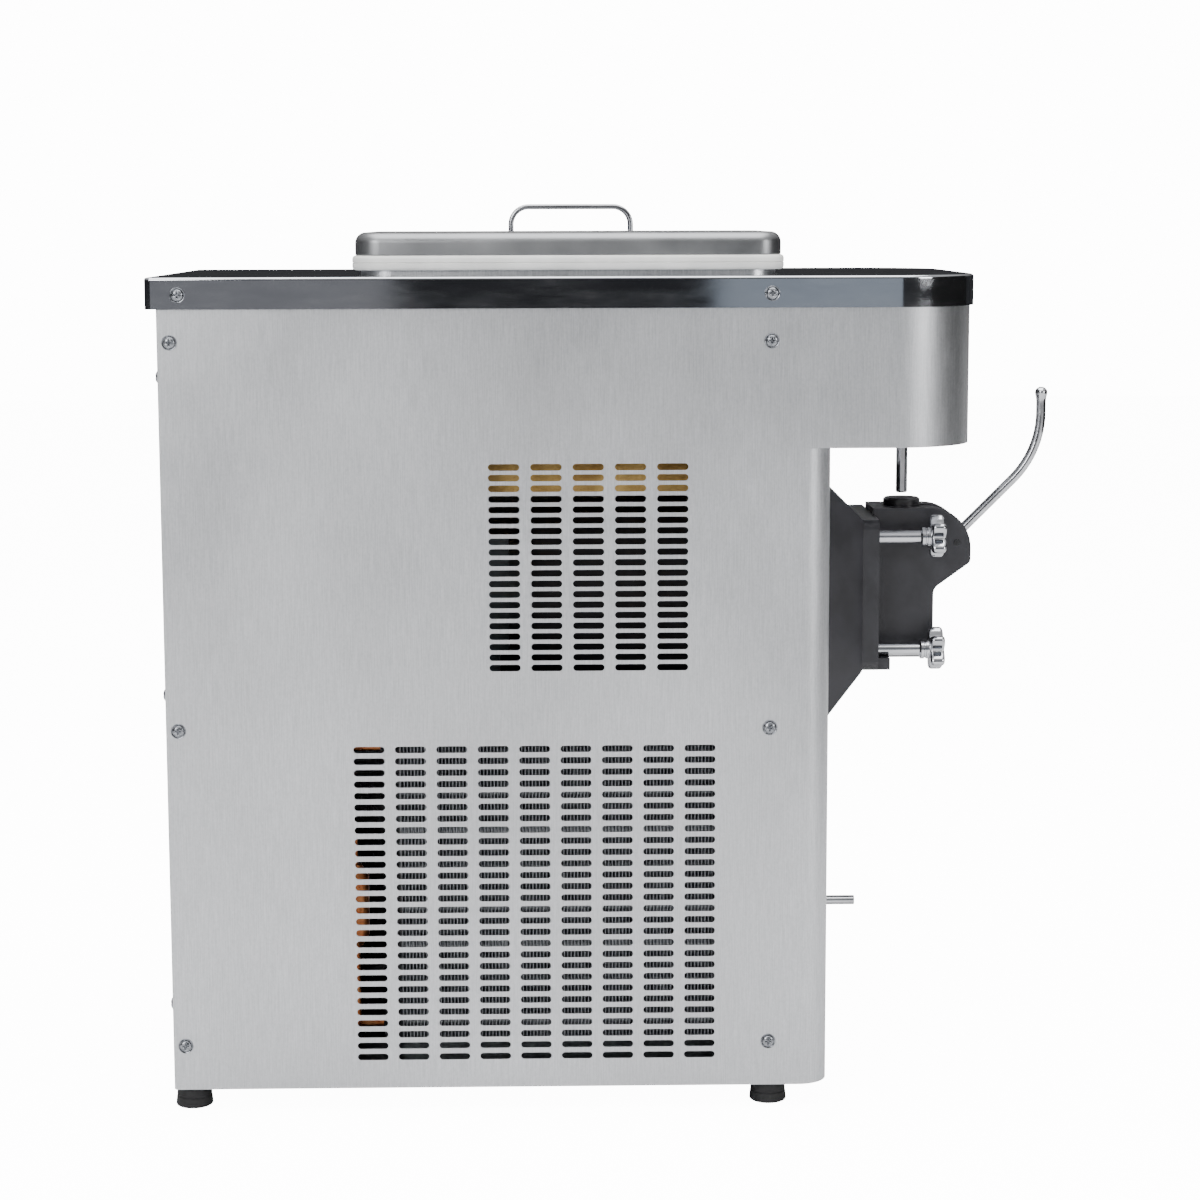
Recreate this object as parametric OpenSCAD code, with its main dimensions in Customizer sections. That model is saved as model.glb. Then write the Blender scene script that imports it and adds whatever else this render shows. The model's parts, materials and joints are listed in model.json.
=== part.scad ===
// Countertop soft-serve ice cream machine: one freezing cylinder, one hopper, one dispensing head.
// The front of the machine faces -Y, +Z is up, and the origin lies on the floor below the middle
// of the machine's overall box. Inside from_rear(), Y is the distance forward of the rear edge of
// the top cover, so that depths read the way they are measured on the machine.

/* [Cabinet] */
// Width across the outer faces of the side panels
cab_w = 344; // [320:1:430]
// Depth of the side panels, front to back
cab_d = 502; // [490:1:640]
// Height of the top cover above the floor
top_z = 690; // [680:1:860]
// Thickness of the panel sheet
sheet = 1.2; // [1:0.1:1.6]
// Height of the rubber feet
foot_h = 19; // [16:1:24]
// Diameter of the rubber feet
foot_d = 31; // [24:1:38]
// Distance from a side panel's face to the middle of a foot
foot_inset = 22; // [19:1:30]
// Leg width of the frame's steel angle
angle_leg = 22; // [20:1:26]
// Thickness of the frame's steel angle
angle_t = 2; // [1.5:0.5:3]
// Height of the deck that carries the drive
deck_z = 330; // [326:1:334]

/* [Top cover] */
// Thickness of the top cover
cover_t = 1.5; // [1.2:0.1:2]
// Height of the down-turned skirt
skirt_h = 25.4; // [20:0.1:32]
// Overhang of the cover past the side panels and the visor
cover_lip = 3; // [2.5:0.5:5]
// Overhang of the cover past the rear edge of the side panels
rear_gap = 10; // [8:1:14]
// Corner radius of the cover at the rear
rear_r = 6; // [3:1:10]

/* [Front] */
// Reach of the visor in front of the side panels
visor_reach = 160; // [150:1:190]
// Height of the visor's underside above the floor
visor_z = 551; // [540:1:580]
// Corner radius of the visor in plan
visor_r = 71; // [50:1:90]
// Reach of the front panel in front of the side panels
front_reach = 41; // [38:1:50]
// Corner radius of the front panel in plan
front_r = 24; // [12:1:30]

/* [Vents] */
// Length of a vent slot
slot_l = 25.4; // [20:0.1:30]
// Height of a vent slot
slot_h = 5.4; // [4:0.1:6]
// Slot columns of the lower vent
low_cols = 9; // [5:1:9]
// Slot rows of the lower vent
low_rows = 28; // [12:1:28]
// Slot columns of the upper vent
up_cols = 5; // [3:1:6]
// Slot rows of the upper vent
up_rows = 20; // [8:1:20]

/* [Hopper] */
// Inside length of the hopper, front to back
hopper_l = 312; // [260:1:316]
// Inside width of the hopper
hopper_w = 196; // [150:1:210]
// Depth of the hopper below its rim
hopper_depth = 134; // [100:1:150]
// Height of the hopper rim above the cover
rim_h = 4; // [3:0.5:6]
// Width of the hopper rim outside the basin
rim_w = 15; // [12:1:18]
// Bore of the pipe that feeds the cylinder
inlet_bore = 18; // [14:1:20]

/* [Lid] */
// Height of the white lid seal
seal_h = 12; // [8:0.5:16]
// Height of the pressed lid
lid_h = 19; // [14:1:26]
// Length of the lid handle
handle_l = 107; // [80:1:130]
// Height of the lid handle above the lid
handle_h = 23; // [20:1:36]
// Width of the lid handle strap
handle_w = 16; // [10:1:24]

/* [Freezing cylinder] */
// Height of the cylinder axis above the floor
head_z = 416; // [410:1:424]
// Bore of the freezing cylinder
bore_d = 96; // [80:1:96]
// Wall of the freezing cylinder
barrel_t = 2; // [1.5:0.5:3]
// Length of the freezing cylinder, front flange included
barrel_l = 290; // [250:1:300]
// Diameter of the evaporator tube
coil_d = 8; // [6:1:8]
// Outer diameter of the cylinder insulation
wrap_d = 150; // [140:1:154]

/* [Dispensing head] */
// Reach of the bezel in front of the front panel
bezel_reach = 37; // [30:1:45]
// Width of the head flange
flange_w = 140; // [136:1:160]
// Height of the head flange
flange_h = 130; // [130:1:150]
// Thickness of the head flange
flange_t = 14; // [13:1:20]
// Width of the head body
head_w = 60; // [56:1:62]
// Diameter of the valve plunger
plunger_d = 32; // [26:1:32]
// Distance between the studs, side to side
stud_w = 102; // [100:1:104]
// Distance between the studs, up and down
stud_h = 97.2; // [94:0.2:99]
// Diameter of the studs
stud_d = 8; // [6:1:8]
// Diameter of the hand nuts
knob_d = 38.6; // [30:0.2:39]

/* [Lever] */
// Diameter of the lever rod
lever_d = 8.4; // [7:0.2:9]
// Radius of the bend in the lever
lever_bend = 82; // [60:1:100]
// Length of the upright end of the lever above the bend
lever_end = 17; // [10:1:40]
// Diameter of the pivot pin
pin_d = 6; // [5:0.5:7]
// Full swing of the lever in degrees
lever_swing = 25; // [15:1:25]
// Diameter of the switch rod
rod_d = 10; // [8:0.5:10]

/* [Hidden] */
$fn = 64;

steel = "#c6c8cc";
dark_steel = "#8f9194";
charcoal = "#3c3c42";
foam = "#c9a55c";
copper = "#b87445";

// Running clearance of a shaft in its bore, on the radius
run = 0.05;

// Cabinet planes
half_w = cab_w / 2;
inner_x = half_w - sheet;
seam_s = rear_gap + cab_d;
frame_s0 = rear_gap + sheet;
frame_s1 = seam_s - sheet;
base_t = 2;
base_top = foot_h + base_t;
cover_in = top_z - cover_t;
panel_top = top_z - 4;
front_s = seam_s + front_reach;
visor_s = seam_s + visor_reach;
cover_s = visor_s + cover_lip;

// Side screws sit in the frame's posts: distances along the depth, and heights
screw_d = 5;
screw_inset = 9.2;
screw_s = [rear_gap + screw_inset, seam_s - screw_inset];
screw_z = [foot_h + 37.5, deck_z - 8.2, top_z - 52];
cover_screw_s = [rear_gap + 16.8, seam_s - screw_inset];
cover_screw_z = top_z - 14;
rear_screw_x = inner_x - angle_leg / 2;
rear_screw_z = [foot_h + 71, deck_z + 20, top_z - 80];

// Vents: the middle of the front lowest slot, and the spacing
low_pitch_s = 33.9;
low_pitch_z = 9.61;
low_s = seam_s - 66.5;
low_z = foot_h + 26.7;
up_pitch_s = 34.2;
up_pitch_z = 8.64;
up_s = seam_s - 89;
up_z = deck_z + 42.5;
rear_cols = 6;
rear_rows = 16;

// Cord gland in the rear panel, and the drain outlet in the front panel
gland_x = 120;
gland_z = foot_h + 42;
drain_z = 133.4;
drain_d = 8.3;

// Hopper: it hangs from the cover by its rim
hopper_s = seam_s - 16 - hopper_l / 2;
hopper_r = 20;
rim_top = top_z + rim_h;
hopper_floor = rim_top - hopper_depth;
inlet_s = seam_s - 50;
foam_drop = 47;
foam_w = 280;
foam_s0 = hopper_s - hopper_l / 2 - 12;
foam_s1 = hopper_s + hopper_l / 2 + 12;

// Lid
seal_lap = 6.5;
lid_z0 = rim_top;
lid_z1 = lid_z0 + seal_h;
lid_z2 = lid_z1 + lid_h;
plug_gap = 1;

// Head, barrel and drive train along the cylinder axis
face_s = front_s + bezel_reach;
barrel_s = face_s - barrel_l;
barrel_plate = 6;
barrel_r = bore_d / 2 + barrel_t;
barrel_flange_t = 12;
barrel_flange_w = stud_w + 18;
barrel_flange_h = stud_h + 18;
seal_d = 30;
shaft_d = 20;
drive_sq = 14;
coil_r = barrel_r + coil_d / 2;
header_r = coil_r + coil_d / 2;
body_s = face_s + flange_t;
head_top = head_z + 71;
head_bottom = head_z - 59;
plunger_s = body_s + 27;
plunger_gap = 0.1;
nozzle_h = 9;
plunger_foot = head_bottom + nozzle_h + 4;
plunger_top = head_top + 7;
feed_d = 18;
feed_z = plunger_foot + 5 + feed_d / 2;
lip_t = 11;
sleeve_d = 11.2;

// Heights and thickness of the O-rings in the plunger
ring_z = [plunger_foot + 3.2, feed_z + feed_d / 2 + 8];
ring_t = 3;

// Lever geometry: the arm swings evenly about the horizontal
arm_reach = 45;
pivot_s = plunger_s + arm_reach;
pivot_z = head_z + 41;
arm_l = arm_reach / cos(lever_swing / 2);
arm_end_z = pivot_z - arm_reach * tan(lever_swing / 2);
arm_ball = 13;
arm_t = 6.5;
lever_w = 8;
slot_w = 12;
slot_floor = arm_end_z - arm_ball / 2 - 2.5;
bend_s = pivot_s + 52;
bend_z = pivot_z + 52;
lever_top_z = bend_z + lever_bend * sin(45) + lever_end;
lever_tip_s = bend_s + lever_bend * (1 - cos(45));
lever_tip_r = 5.6;

// The floor origin lies below the middle of the box from the cover's rear edge to the lever
back_y = (lever_tip_s + lever_tip_r) / 2;

// Switch rod in the visor
rod_gap = 4;
rod_foot = plunger_top + rod_gap;
rod_travel = 2 * arm_l * sin(lever_swing / 2) - rod_gap + 0.4;
bushing_h = 13;
visor_floor = visor_z + sheet;
collar_z = visor_floor + bushing_h;
spring_top = collar_z + 3 + 32;
rod_top = spring_top - 6;
bridge_t = 2;

// Controls on the visor front
fascia_t = 2.5;
fascia_w = 160;
fascia_h = 68;
fascia_z = (visor_z + top_z - skirt_h) / 2 - fascia_h / 2 + 2;
button_d = 12;
button_pitch = 40;
button_z = fascia_z + 17;
button_travel = 1;
window_w = 60;
window_h = 24;
window_z = fascia_z + 34;
board_s = visor_s - 17;

// Drive: belt plane behind the gearbox, motor beside it
gear_s0 = barrel_s - 78;
gear_s1 = barrel_s - 12;
belt_s = gear_s0 - 18;
belt_w = 10;
belt_t = 3;
motor_x = 95;
motor_d = 118;
motor_s1 = belt_s - 24;
motor_l = 130;
big_pulley = 112;
small_pulley = 38;
deck_top = deck_z + base_t;

// Condenser behind the left vent, with the fan behind it
cond_x0 = half_w - 27;
cond_depth = 38;
cond_s0 = low_s - 8.1 * low_pitch_s + 22;
cond_s1 = low_s + 20;
cond_mid = (cond_s0 + cond_s1) / 2;
cond_z0 = foot_h + 31;
cond_z1 = deck_z - 18;
cond_mid_z = (cond_z0 + cond_z1) / 2;
cond_plate = 2;
fan_d = 208;
fan_x = cond_x0 - cond_depth - 22;
bracket_x = fan_x - 27;

// Compressor at the rear
comp_x = 45;
comp_s = rear_gap + 102;
comp_z = 141;

// Pipe stubs of the condenser across the machine, and the foot of the filter drier
stub_x = cond_depth / 2 - cond_x0;
drier_z = foot_h + 110;

// Places the parts so that Y inside counts forward from the cover's rear edge
module from_rear() {
    translate([0, back_y, 0]) mirror([0, 1, 0]) children();
}

// A round bar along the depth, from s0 to s1
module rod_s(s0, s1, d) {
    translate([0, s0, 0]) rotate([-90, 0, 0]) cylinder(h = s1 - s0, d = d);
}

// A round bar across the machine, from x0 to x1
module rod_x(x0, x1, d) {
    translate([x0, 0, 0]) rotate([0, 90, 0]) cylinder(h = x1 - x0, d = d);
}

// A block between two corners
module block(a, b) {
    translate(a) cube(b - a);
}

// A flat rectangle with round corners, about its middle
module round_rect(l, w, r) {
    square([l - 2 * r, w], center = true);
    square([l, w - 2 * r], center = true);
    for (sx = [-1, 1], sy = [-1, 1]) {
        translate([sx * (l / 2 - r), sy * (w / 2 - r)]) circle(r = r);
    }
}

// Plan of a body that is square at the rear (s0) and has round front corners (s1)
module nose_plan(w, s0, s1, r) {
    translate([-w / 2, s0]) square([w, s1 - r - s0]);
    translate([r - w / 2, s0]) square([w - 2 * r, s1 - s0]);
    for (side = [-1, 1]) {
        intersection() {
            translate([side * (w / 2 - r), s1 - r]) circle(r = r);
            translate([-w / 2, s0]) square([w, s1 - s0]);
        }
    }
}

// Plan of the cover: as nose_plan, with smaller round corners at the rear
module cover_plan(w, s0, s1, r, rr) {
    translate([-w / 2, s0 + rr]) square([w, s1 - r - s0 - rr]);
    translate([rr - w / 2, s0]) square([w - 2 * rr, rr]);
    translate([r - w / 2, s1 - r]) square([w - 2 * r, r]);
    for (side = [-1, 1]) {
        translate([side * (w / 2 - r), s1 - r]) circle(r = r);
        translate([side * (w / 2 - rr), s0 + rr]) circle(r = rr);
    }
}

// Obround slot, long along the first axis
module slot_plan() {
    square([slot_l - slot_h, slot_h], center = true);
    for (side = [-1, 1]) {
        translate([side * (slot_l - slot_h) / 2, 0]) circle(d = slot_h, $fn = 24);
    }
}

// Field of slots: cols by rows, from the first slot's middle, stepping by ds and dz
module slot_field(cols, rows, s, z, ds, dz) {
    for (i = [0:cols - 1], j = [0:rows - 1]) {
        translate([s + i * ds, z + j * dz]) slot_plan();
    }
}

// Pressed pan with a round top edge: l along the depth, w across
module pan(l, w, h, r, e) {
    steps = 6;
    edge = concat([[0, 0], [r, 0]],
        [for (i = [0:steps]) [r - e + e * cos(90 * i / steps), h - e + e * sin(90 * i / steps)]],
        [[0, h]]);
    for (sx = [-1, 1], sy = [-1, 1]) {
        translate([sx * (w / 2 - r), sy * (l / 2 - r), 0]) rotate_extrude() polygon(edge);
    }
    for (side = [0, 180]) {
        rotate([0, 0, side]) translate([w / 2 - r, l / 2 - r, 0]) rotate([90, 0, 0])
            linear_extrude(l - 2 * r) polygon(edge);
        rotate([0, 0, side + 90]) translate([l / 2 - r, w / 2 - r, 0]) rotate([90, 0, 0])
            linear_extrude(w - 2 * r) polygon(edge);
    }
    block([-w / 2 + r, -l / 2 + r, 0], [w / 2 - r, l / 2 - r, h]);
}

// Faces of a closed sweep: rings steps of a section with the given number of sides
function sweep_faces(rings, sides) = concat(
    [for (k = [0:rings - 1], i = [0:sides - 1])
        let (j = (i + 1) % sides, a = k * sides, b = a + sides) [a + i, a + j, b + j, b + i]],
    [[for (i = [sides - 1:-1:0]) i], [for (i = [0:sides - 1]) rings * sides + i]]);

// Screw with its cup washer; the axis runs outwards along +X from the face it clamps
module screw() {
    rod_x(-11, 0.1, screw_d);
    rod_x(0, 0.9, 12);
    difference() {
        rod_x(0.5, 2.8, 9.4);
        block([1.4, -2.6, -0.6], [3, 2.6, 0.6]);
        block([1.4, -0.6, -2.6], [3, 0.6, 2.6]);
    }
}

// Every place where a panel screw goes, with its axis along the child's +X
module at_screws() {
    for (s = screw_s, z = screw_z, side = [0, 1]) {
        mirror([side, 0, 0]) translate([half_w, s, z]) children();
    }
    for (z = rear_screw_z, side = [-1, 1]) {
        translate([side * rear_screw_x, rear_gap - sheet, z]) rotate([0, 0, -90]) children();
    }
}

// The same for the screws in the skirt
module at_cover_screws() {
    for (s = cover_screw_s, side = [0, 1]) {
        mirror([side, 0, 0]) translate([half_w + cover_lip, s, cover_screw_z]) children();
    }
}

// Clearance holes for all panel and skirt screws
module screw_holes() {
    at_screws() rod_x(-12, 1, screw_d + 0.4);
    at_cover_screws() rod_x(-12, 1, screw_d + 0.4);
}

// Steel base tray that carries the feet, the compressor and the condenser
module base_plate() {
    color(dark_steel) from_rear() difference() {
        union() {
            block([-inner_x, frame_s0, foot_h], [inner_x, frame_s1, base_top]);
            block([front_r - half_w + 4, frame_s1, foot_h], [half_w - front_r - 4, front_s - sheet, base_top]);
        }
        at_feet() translate([0, 0, foot_h - 1]) cylinder(h = base_t + 2, d = 8.4);
    }
}

// Places of the four feet
module at_feet() {
    for (x = [-1, 1], s = [rear_gap + 12.7, seam_s - 7.5]) {
        translate([x * (half_w - foot_inset), s, 0]) children();
    }
}

// Four rubber feet, each with its stud
module feet() {
    color("#1c1c1e") from_rear() at_feet() {
        cylinder(h = foot_h, d1 = foot_d, d2 = foot_d - 4);
        cylinder(h = foot_h + 10, d = 8);
    }
}

// Welded frame: corner posts of angle, top rails and the deck
module frame() {
    color(dark_steel) from_rear() difference() {
        union() {
            for (side = [0, 1]) mirror([side, 0, 0]) {
                block([inner_x - angle_t, frame_s0, base_top],
                    [inner_x, frame_s0 + angle_leg, cover_in]);
                block([inner_x - angle_leg, frame_s0, base_top],
                    [inner_x, frame_s0 + angle_t, cover_in]);
                block([inner_x - angle_t, frame_s1 - angle_leg, base_top],
                    [inner_x, frame_s1, cover_in]);
                block([inner_x - angle_leg, frame_s1 - angle_t, base_top],
                    [inner_x, frame_s1, cover_in]);
                block([inner_x - angle_t, frame_s0, cover_in - angle_leg],
                    [inner_x, frame_s1, cover_in]);
                block([inner_x - angle_leg, frame_s0, cover_in - angle_t],
                    [inner_x, frame_s1, cover_in]);
            }
            block([-inner_x, frame_s0, cover_in - angle_leg], [inner_x, frame_s0 + angle_t, cover_in]);
            block([-inner_x, frame_s1 - angle_t, cover_in - angle_leg], [inner_x, frame_s1, cover_in]);
            block([-inner_x, frame_s0, deck_z], [inner_x, frame_s1, deck_top]);
        }
        screw_holes();
        translate([-90, belt_s - 60, deck_z - 1]) cylinder(h = base_t + 2, d = 44);
    }
}

// Vented side panel with folded front and rear returns, on the +X side: lower slot columns, and
// whether it has the upper vent
module side_sheet(cols, upper) {
    difference() {
        union() {
            translate([inner_x, 0, 0]) rotate([90, 0, 90]) linear_extrude(sheet) difference() {
                translate([rear_gap, foot_h]) square([cab_d, panel_top - foot_h]);
                slot_field(cols, low_rows, low_s, low_z, -low_pitch_s, low_pitch_z);
                if (upper) slot_field(up_cols, up_rows, up_s, up_z, -up_pitch_s, up_pitch_z);
            }
            block([inner_x - angle_leg, rear_gap, foot_h], [inner_x, rear_gap + sheet, panel_top]);
            block([inner_x - angle_leg, seam_s - sheet, foot_h], [inner_x, seam_s, panel_top]);
        }
        screw_holes();
    }
}

module side_panel_left() {
    color(steel) from_rear() mirror([1, 0, 0]) side_sheet(low_cols, true);
}

module side_panel_right() {
    color(steel) from_rear() side_sheet(low_cols - 2, false);
}

// Rear panel with a field of air slots and the hole for the cord gland
module rear_panel() {
    color(steel) from_rear() difference() {
        translate([0, rear_gap, 0]) rotate([90, 0, 0]) linear_extrude(sheet) difference() {
            translate([1 - inner_x, foot_h]) square([2 * inner_x - 2, panel_top - foot_h]);
            slot_field(rear_cols, rear_rows, -(rear_cols - 1) / 2 * low_pitch_s, foot_h + 96,
                low_pitch_s, low_pitch_z);
            translate([gland_x, gland_z]) circle(d = 20.4);
        }
        screw_holes();
    }
}

// Front panel: a tray with round upright corners, an opening for the cylinder and a drain hole
module front_panel() {
    hole = wrap_d + 8;
    color(steel) from_rear() difference() {
        union() {
            translate([0, 0, foot_h]) linear_extrude(visor_z - foot_h) difference() {
                nose_plan(cab_w, seam_s, front_s, front_r);
                nose_plan(cab_w - 2 * sheet, seam_s - 1, front_s - sheet, front_r - sheet);
            }
            for (side = [0, 1]) mirror([side, 0, 0]) {
                block([inner_x - angle_leg, seam_s, foot_h],
                    [inner_x + sheet / 2, seam_s + sheet, visor_z]);
            }
        }
        block([-hole / 2, front_s - 10, head_z - hole / 2], [hole / 2, front_s + 1, head_z + hole / 2]);
        translate([0, 0, drain_z]) rod_s(front_s - 10, front_s + 1, drain_d + 0.3);
    }
}

// Visor: the overhanging control head with its floor
module visor_shell() {
    color(steel) from_rear() difference() {
        union() {
            translate([0, 0, visor_z]) linear_extrude(panel_top - visor_z) difference() {
                nose_plan(cab_w, seam_s, visor_s, visor_r);
                nose_plan(cab_w - 2 * sheet, seam_s - 1, visor_s - sheet, visor_r - sheet);
            }
            translate([0, 0, visor_z]) linear_extrude(sheet)
                nose_plan(cab_w, seam_s, visor_s, visor_r);
            for (side = [0, 1]) mirror([side, 0, 0]) {
                block([inner_x - angle_leg, seam_s, visor_z],
                    [inner_x + sheet / 2, seam_s + sheet, panel_top]);
            }
        }
        translate([0, plunger_s, visor_z - 1]) cylinder(h = sheet + 2, d = 16);
        for (i = [-1:1]) {
            translate([i * button_pitch, 0, button_z]) rod_s(visor_s - 10, visor_s + 1, button_d + 1);
        }
        block([-window_w / 2, visor_s - 10, window_z], [window_w / 2, visor_s + 1, window_z + window_h]);
    }
}

// Polished top cover with its skirt and the hopper opening
module top_cover() {
    w = cab_w + 2 * cover_lip;
    color(steel) from_rear() difference() {
        translate([0, 0, top_z - skirt_h]) linear_extrude(skirt_h)
            cover_plan(w, 0, cover_s, visor_r + cover_lip, rear_r);
        translate([0, 0, top_z - skirt_h - 1]) linear_extrude(skirt_h + 1 - cover_t)
            cover_plan(w - 2 * cover_t, cover_t, cover_s - cover_t, visor_r + cover_lip - cover_t,
                rear_r - cover_t);
        translate([0, hopper_s, cover_in - 1]) linear_extrude(cover_t + 2)
            round_rect(hopper_w + 2 * sheet + 2, hopper_l + 2 * sheet + 2, hopper_r + sheet + 1);
        at_cover_screws() rod_x(-12, 1, screw_d + 0.4);
    }
}

// All identical screws: side panels, rear panel and skirt
module panel_screws() {
    color(steel) from_rear() {
        at_screws() screw();
        at_cover_screws() screw();
    }
}

// Stainless hopper basin with a raised rolled rim
module hopper() {
    out_l = hopper_l + 2 * sheet;
    out_w = hopper_w + 2 * sheet;
    rim_lo = hopper_l + 2 * rim_w + 2;
    rim_wo = hopper_w + 2 * rim_w + 2;
    color(steel) from_rear() translate([0, hopper_s, 0]) difference() {
        union() {
            translate([0, 0, hopper_floor]) linear_extrude(hopper_depth)
                round_rect(out_w, out_l, hopper_r + sheet);
            translate([0, 0, top_z]) linear_extrude(rim_h) round_rect(rim_wo, rim_lo, hopper_r + 6);
        }
        translate([0, 0, top_z - 1]) linear_extrude(rim_h + 1 - sheet) difference() {
            round_rect(rim_wo - 2 * sheet, rim_lo - 2 * sheet, hopper_r + 6 - sheet);
            round_rect(out_w, out_l, hopper_r + sheet);
        }
        translate([0, 0, hopper_floor + sheet]) linear_extrude(hopper_depth)
            round_rect(hopper_w, hopper_l, hopper_r);
        translate([0, inlet_s - hopper_s, hopper_floor - 1]) cylinder(h = sheet + 2, d = inlet_bore);
    }
}

// Foam block round the hopper
module hopper_insulation() {
    color(foam) from_rear() difference() {
        block([-foam_w / 2, foam_s0, hopper_floor - foam_drop], [foam_w / 2, foam_s1, cover_in]);
        translate([0, hopper_s, hopper_floor]) linear_extrude(hopper_depth)
            round_rect(hopper_w + 2 * sheet, hopper_l + 2 * sheet, hopper_r + sheet);
        translate([0, inlet_s, hopper_floor - foam_drop - 1])
            cylinder(h = foam_drop + 2, d = inlet_bore + 4);
        translate([0, inlet_s, hopper_floor - 2]) cylinder(h = 3, d = inlet_bore + 22);
    }
}

// Tube that meters mix and air into the cylinder; it stands in the hopper floor
module feed_tube() {
    z = hopper_floor + sheet;
    d = inlet_bore - 1;
    color("#e8e8e4") from_rear() translate([0, inlet_s, 0]) difference() {
        union() {
            translate([0, 0, z - 22]) cylinder(h = 120, d = d);
            translate([0, 0, z]) cylinder(h = 5, d = inlet_bore + 8);
            translate([0, 0, z + 90]) cylinder(h = 10, d = inlet_bore + 4);
        }
        translate([0, 0, z - 23]) cylinder(h = 130, d = d - 6);
        translate([0, 0, z + 12]) rod_s(-20, 20, 5);
    }
}

// Pressed lid over the hopper
module hopper_lid() {
    l = hopper_l + 2 * rim_w + 2 + 2 * seal_lap - 5;
    w = hopper_w + 2 * rim_w + 2 + 2 * seal_lap - 5;
    color(dark_steel) from_rear() translate([0, hopper_s, lid_z1]) difference() {
        pan(l, w, lid_h, 22, 6);
        translate([0, 0, -1]) linear_extrude(lid_h + 1 - 2 * sheet)
            round_rect(w - 12, l - 12, 16);
        for (side = [-1, 1]) {
            translate([0, side * (handle_l / 2 - 4), lid_h - 8]) cylinder(h = 10, d = 4.2);
        }
    }
}

// White seal frame under the lid, with the lip that plugs the basin
module lid_gasket() {
    l = hopper_l + 2 * rim_w + 2 + 2 * seal_lap;
    w = hopper_w + 2 * rim_w + 2 + 2 * seal_lap;
    plug_l = hopper_l - 2 * plug_gap;
    plug_w = hopper_w - 2 * plug_gap;
    color("#ececea") from_rear() translate([0, hopper_s, lid_z0]) difference() {
        union() {
            pan(l, w, seal_h, 24, 3);
            translate([0, 0, -10]) linear_extrude(12) round_rect(plug_w, plug_l, hopper_r - plug_gap);
        }
        translate([0, 0, -11]) linear_extrude(seal_h + 12)
            round_rect(plug_w - 8, plug_l - 8, hopper_r - plug_gap - 4);
    }
}

// Outline of the handle: straight legs with round shoulders
module arch(l, h, r) {
    translate([-l / 2, 0]) square([l, h - r]);
    translate([r - l / 2, 0]) square([l - 2 * r, h]);
    for (side = [-1, 1]) {
        translate([side * (l / 2 - r), h - r]) circle(r = r);
    }
}

// Strap handle on the lid, held by two screws from below
module lid_handle() {
    color(steel) from_rear() translate([0, hopper_s + 3, lid_z2]) {
        translate([-handle_w / 2, 0, 0]) rotate([90, 0, 90]) linear_extrude(handle_w) difference() {
            arch(handle_l, handle_h, 17);
            translate([0, -1]) arch(handle_l - 16, handle_h + 1 - 4.7, 12);
            translate([-handle_l, -handle_h]) square([2 * handle_l, handle_h]);
        }
    }
}

// Freezing cylinder with its rear plate, front flange and mix inlet pipe
module freezing_cylinder() {
    color(steel) from_rear() difference() {
        union() {
            translate([0, 0, head_z]) rod_s(barrel_s, face_s - 1, 2 * barrel_r);
            block([-barrel_flange_w / 2, face_s - barrel_flange_t, head_z - barrel_flange_h / 2],
                [barrel_flange_w / 2, face_s, head_z + barrel_flange_h / 2]);
            translate([0, inlet_s, head_z + bore_d / 2 - 6])
                cylinder(h = hopper_floor - head_z - bore_d / 2 + 6, d = inlet_bore + 4);
            translate([0, inlet_s, hopper_floor - 2]) cylinder(h = 2, d = inlet_bore + 22);
        }
        translate([0, 0, head_z]) rod_s(barrel_s + barrel_plate, face_s + 1, bore_d);
        translate([0, 0, head_z]) rod_s(barrel_s - 1, barrel_s + barrel_plate + 1, seal_d);
        translate([0, inlet_s, head_z]) cylinder(h = hopper_floor - head_z + 1, d = inlet_bore);
        translate([0, 0, head_z]) difference() {
            rod_s(face_s - 4, face_s + 1, bore_d + 14);
            rod_s(face_s - 5, face_s + 2, bore_d + 6);
        }
        at_studs() rod_s(face_s - barrel_flange_t - 1, face_s + 1, stud_d);
    }
}

// Places of the four studs round the cylinder axis
module at_studs() {
    for (x = [-1, 1], z = [-1, 1]) {
        translate([x * stud_w / 2, 0, head_z + z * stud_h / 2]) children();
    }
}

// Evaporator tube wound on the cylinder, with its header underneath
module evaporator_coil() {
    turns = 11;
    pitch = 12;
    color(copper) from_rear() translate([0, 0, head_z]) {
        for (i = [0:turns - 1]) {
            translate([0, barrel_s + 16 + i * pitch, 0]) rotate([90, 0, 0])
                rotate_extrude() translate([coil_r, 0]) circle(d = coil_d, $fn = 24);
        }
        translate([0, 0, -header_r]) rod_s(barrel_s + 13, barrel_s + 19 + (turns - 1) * pitch, coil_d);
    }
}

// Black foam sleeve round the cylinder and its coil
module cylinder_insulation() {
    s0 = barrel_s + 8;
    s1 = front_s - 2;
    void_d = 2 * (header_r + coil_d / 2) + 1;
    color("#26262a") from_rear() difference() {
        translate([0, 0, head_z]) rod_s(s0, s1, wrap_d);
        translate([0, 0, head_z]) rod_s(s0 + 4, s1 - 6, void_d);
        translate([0, 0, head_z]) rod_s(s0 - 1, s1 + 1, 2 * barrel_r);
        translate([0, inlet_s, head_z]) cylinder(h = wrap_d, d = inlet_bore + 5);
    }
}

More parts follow.
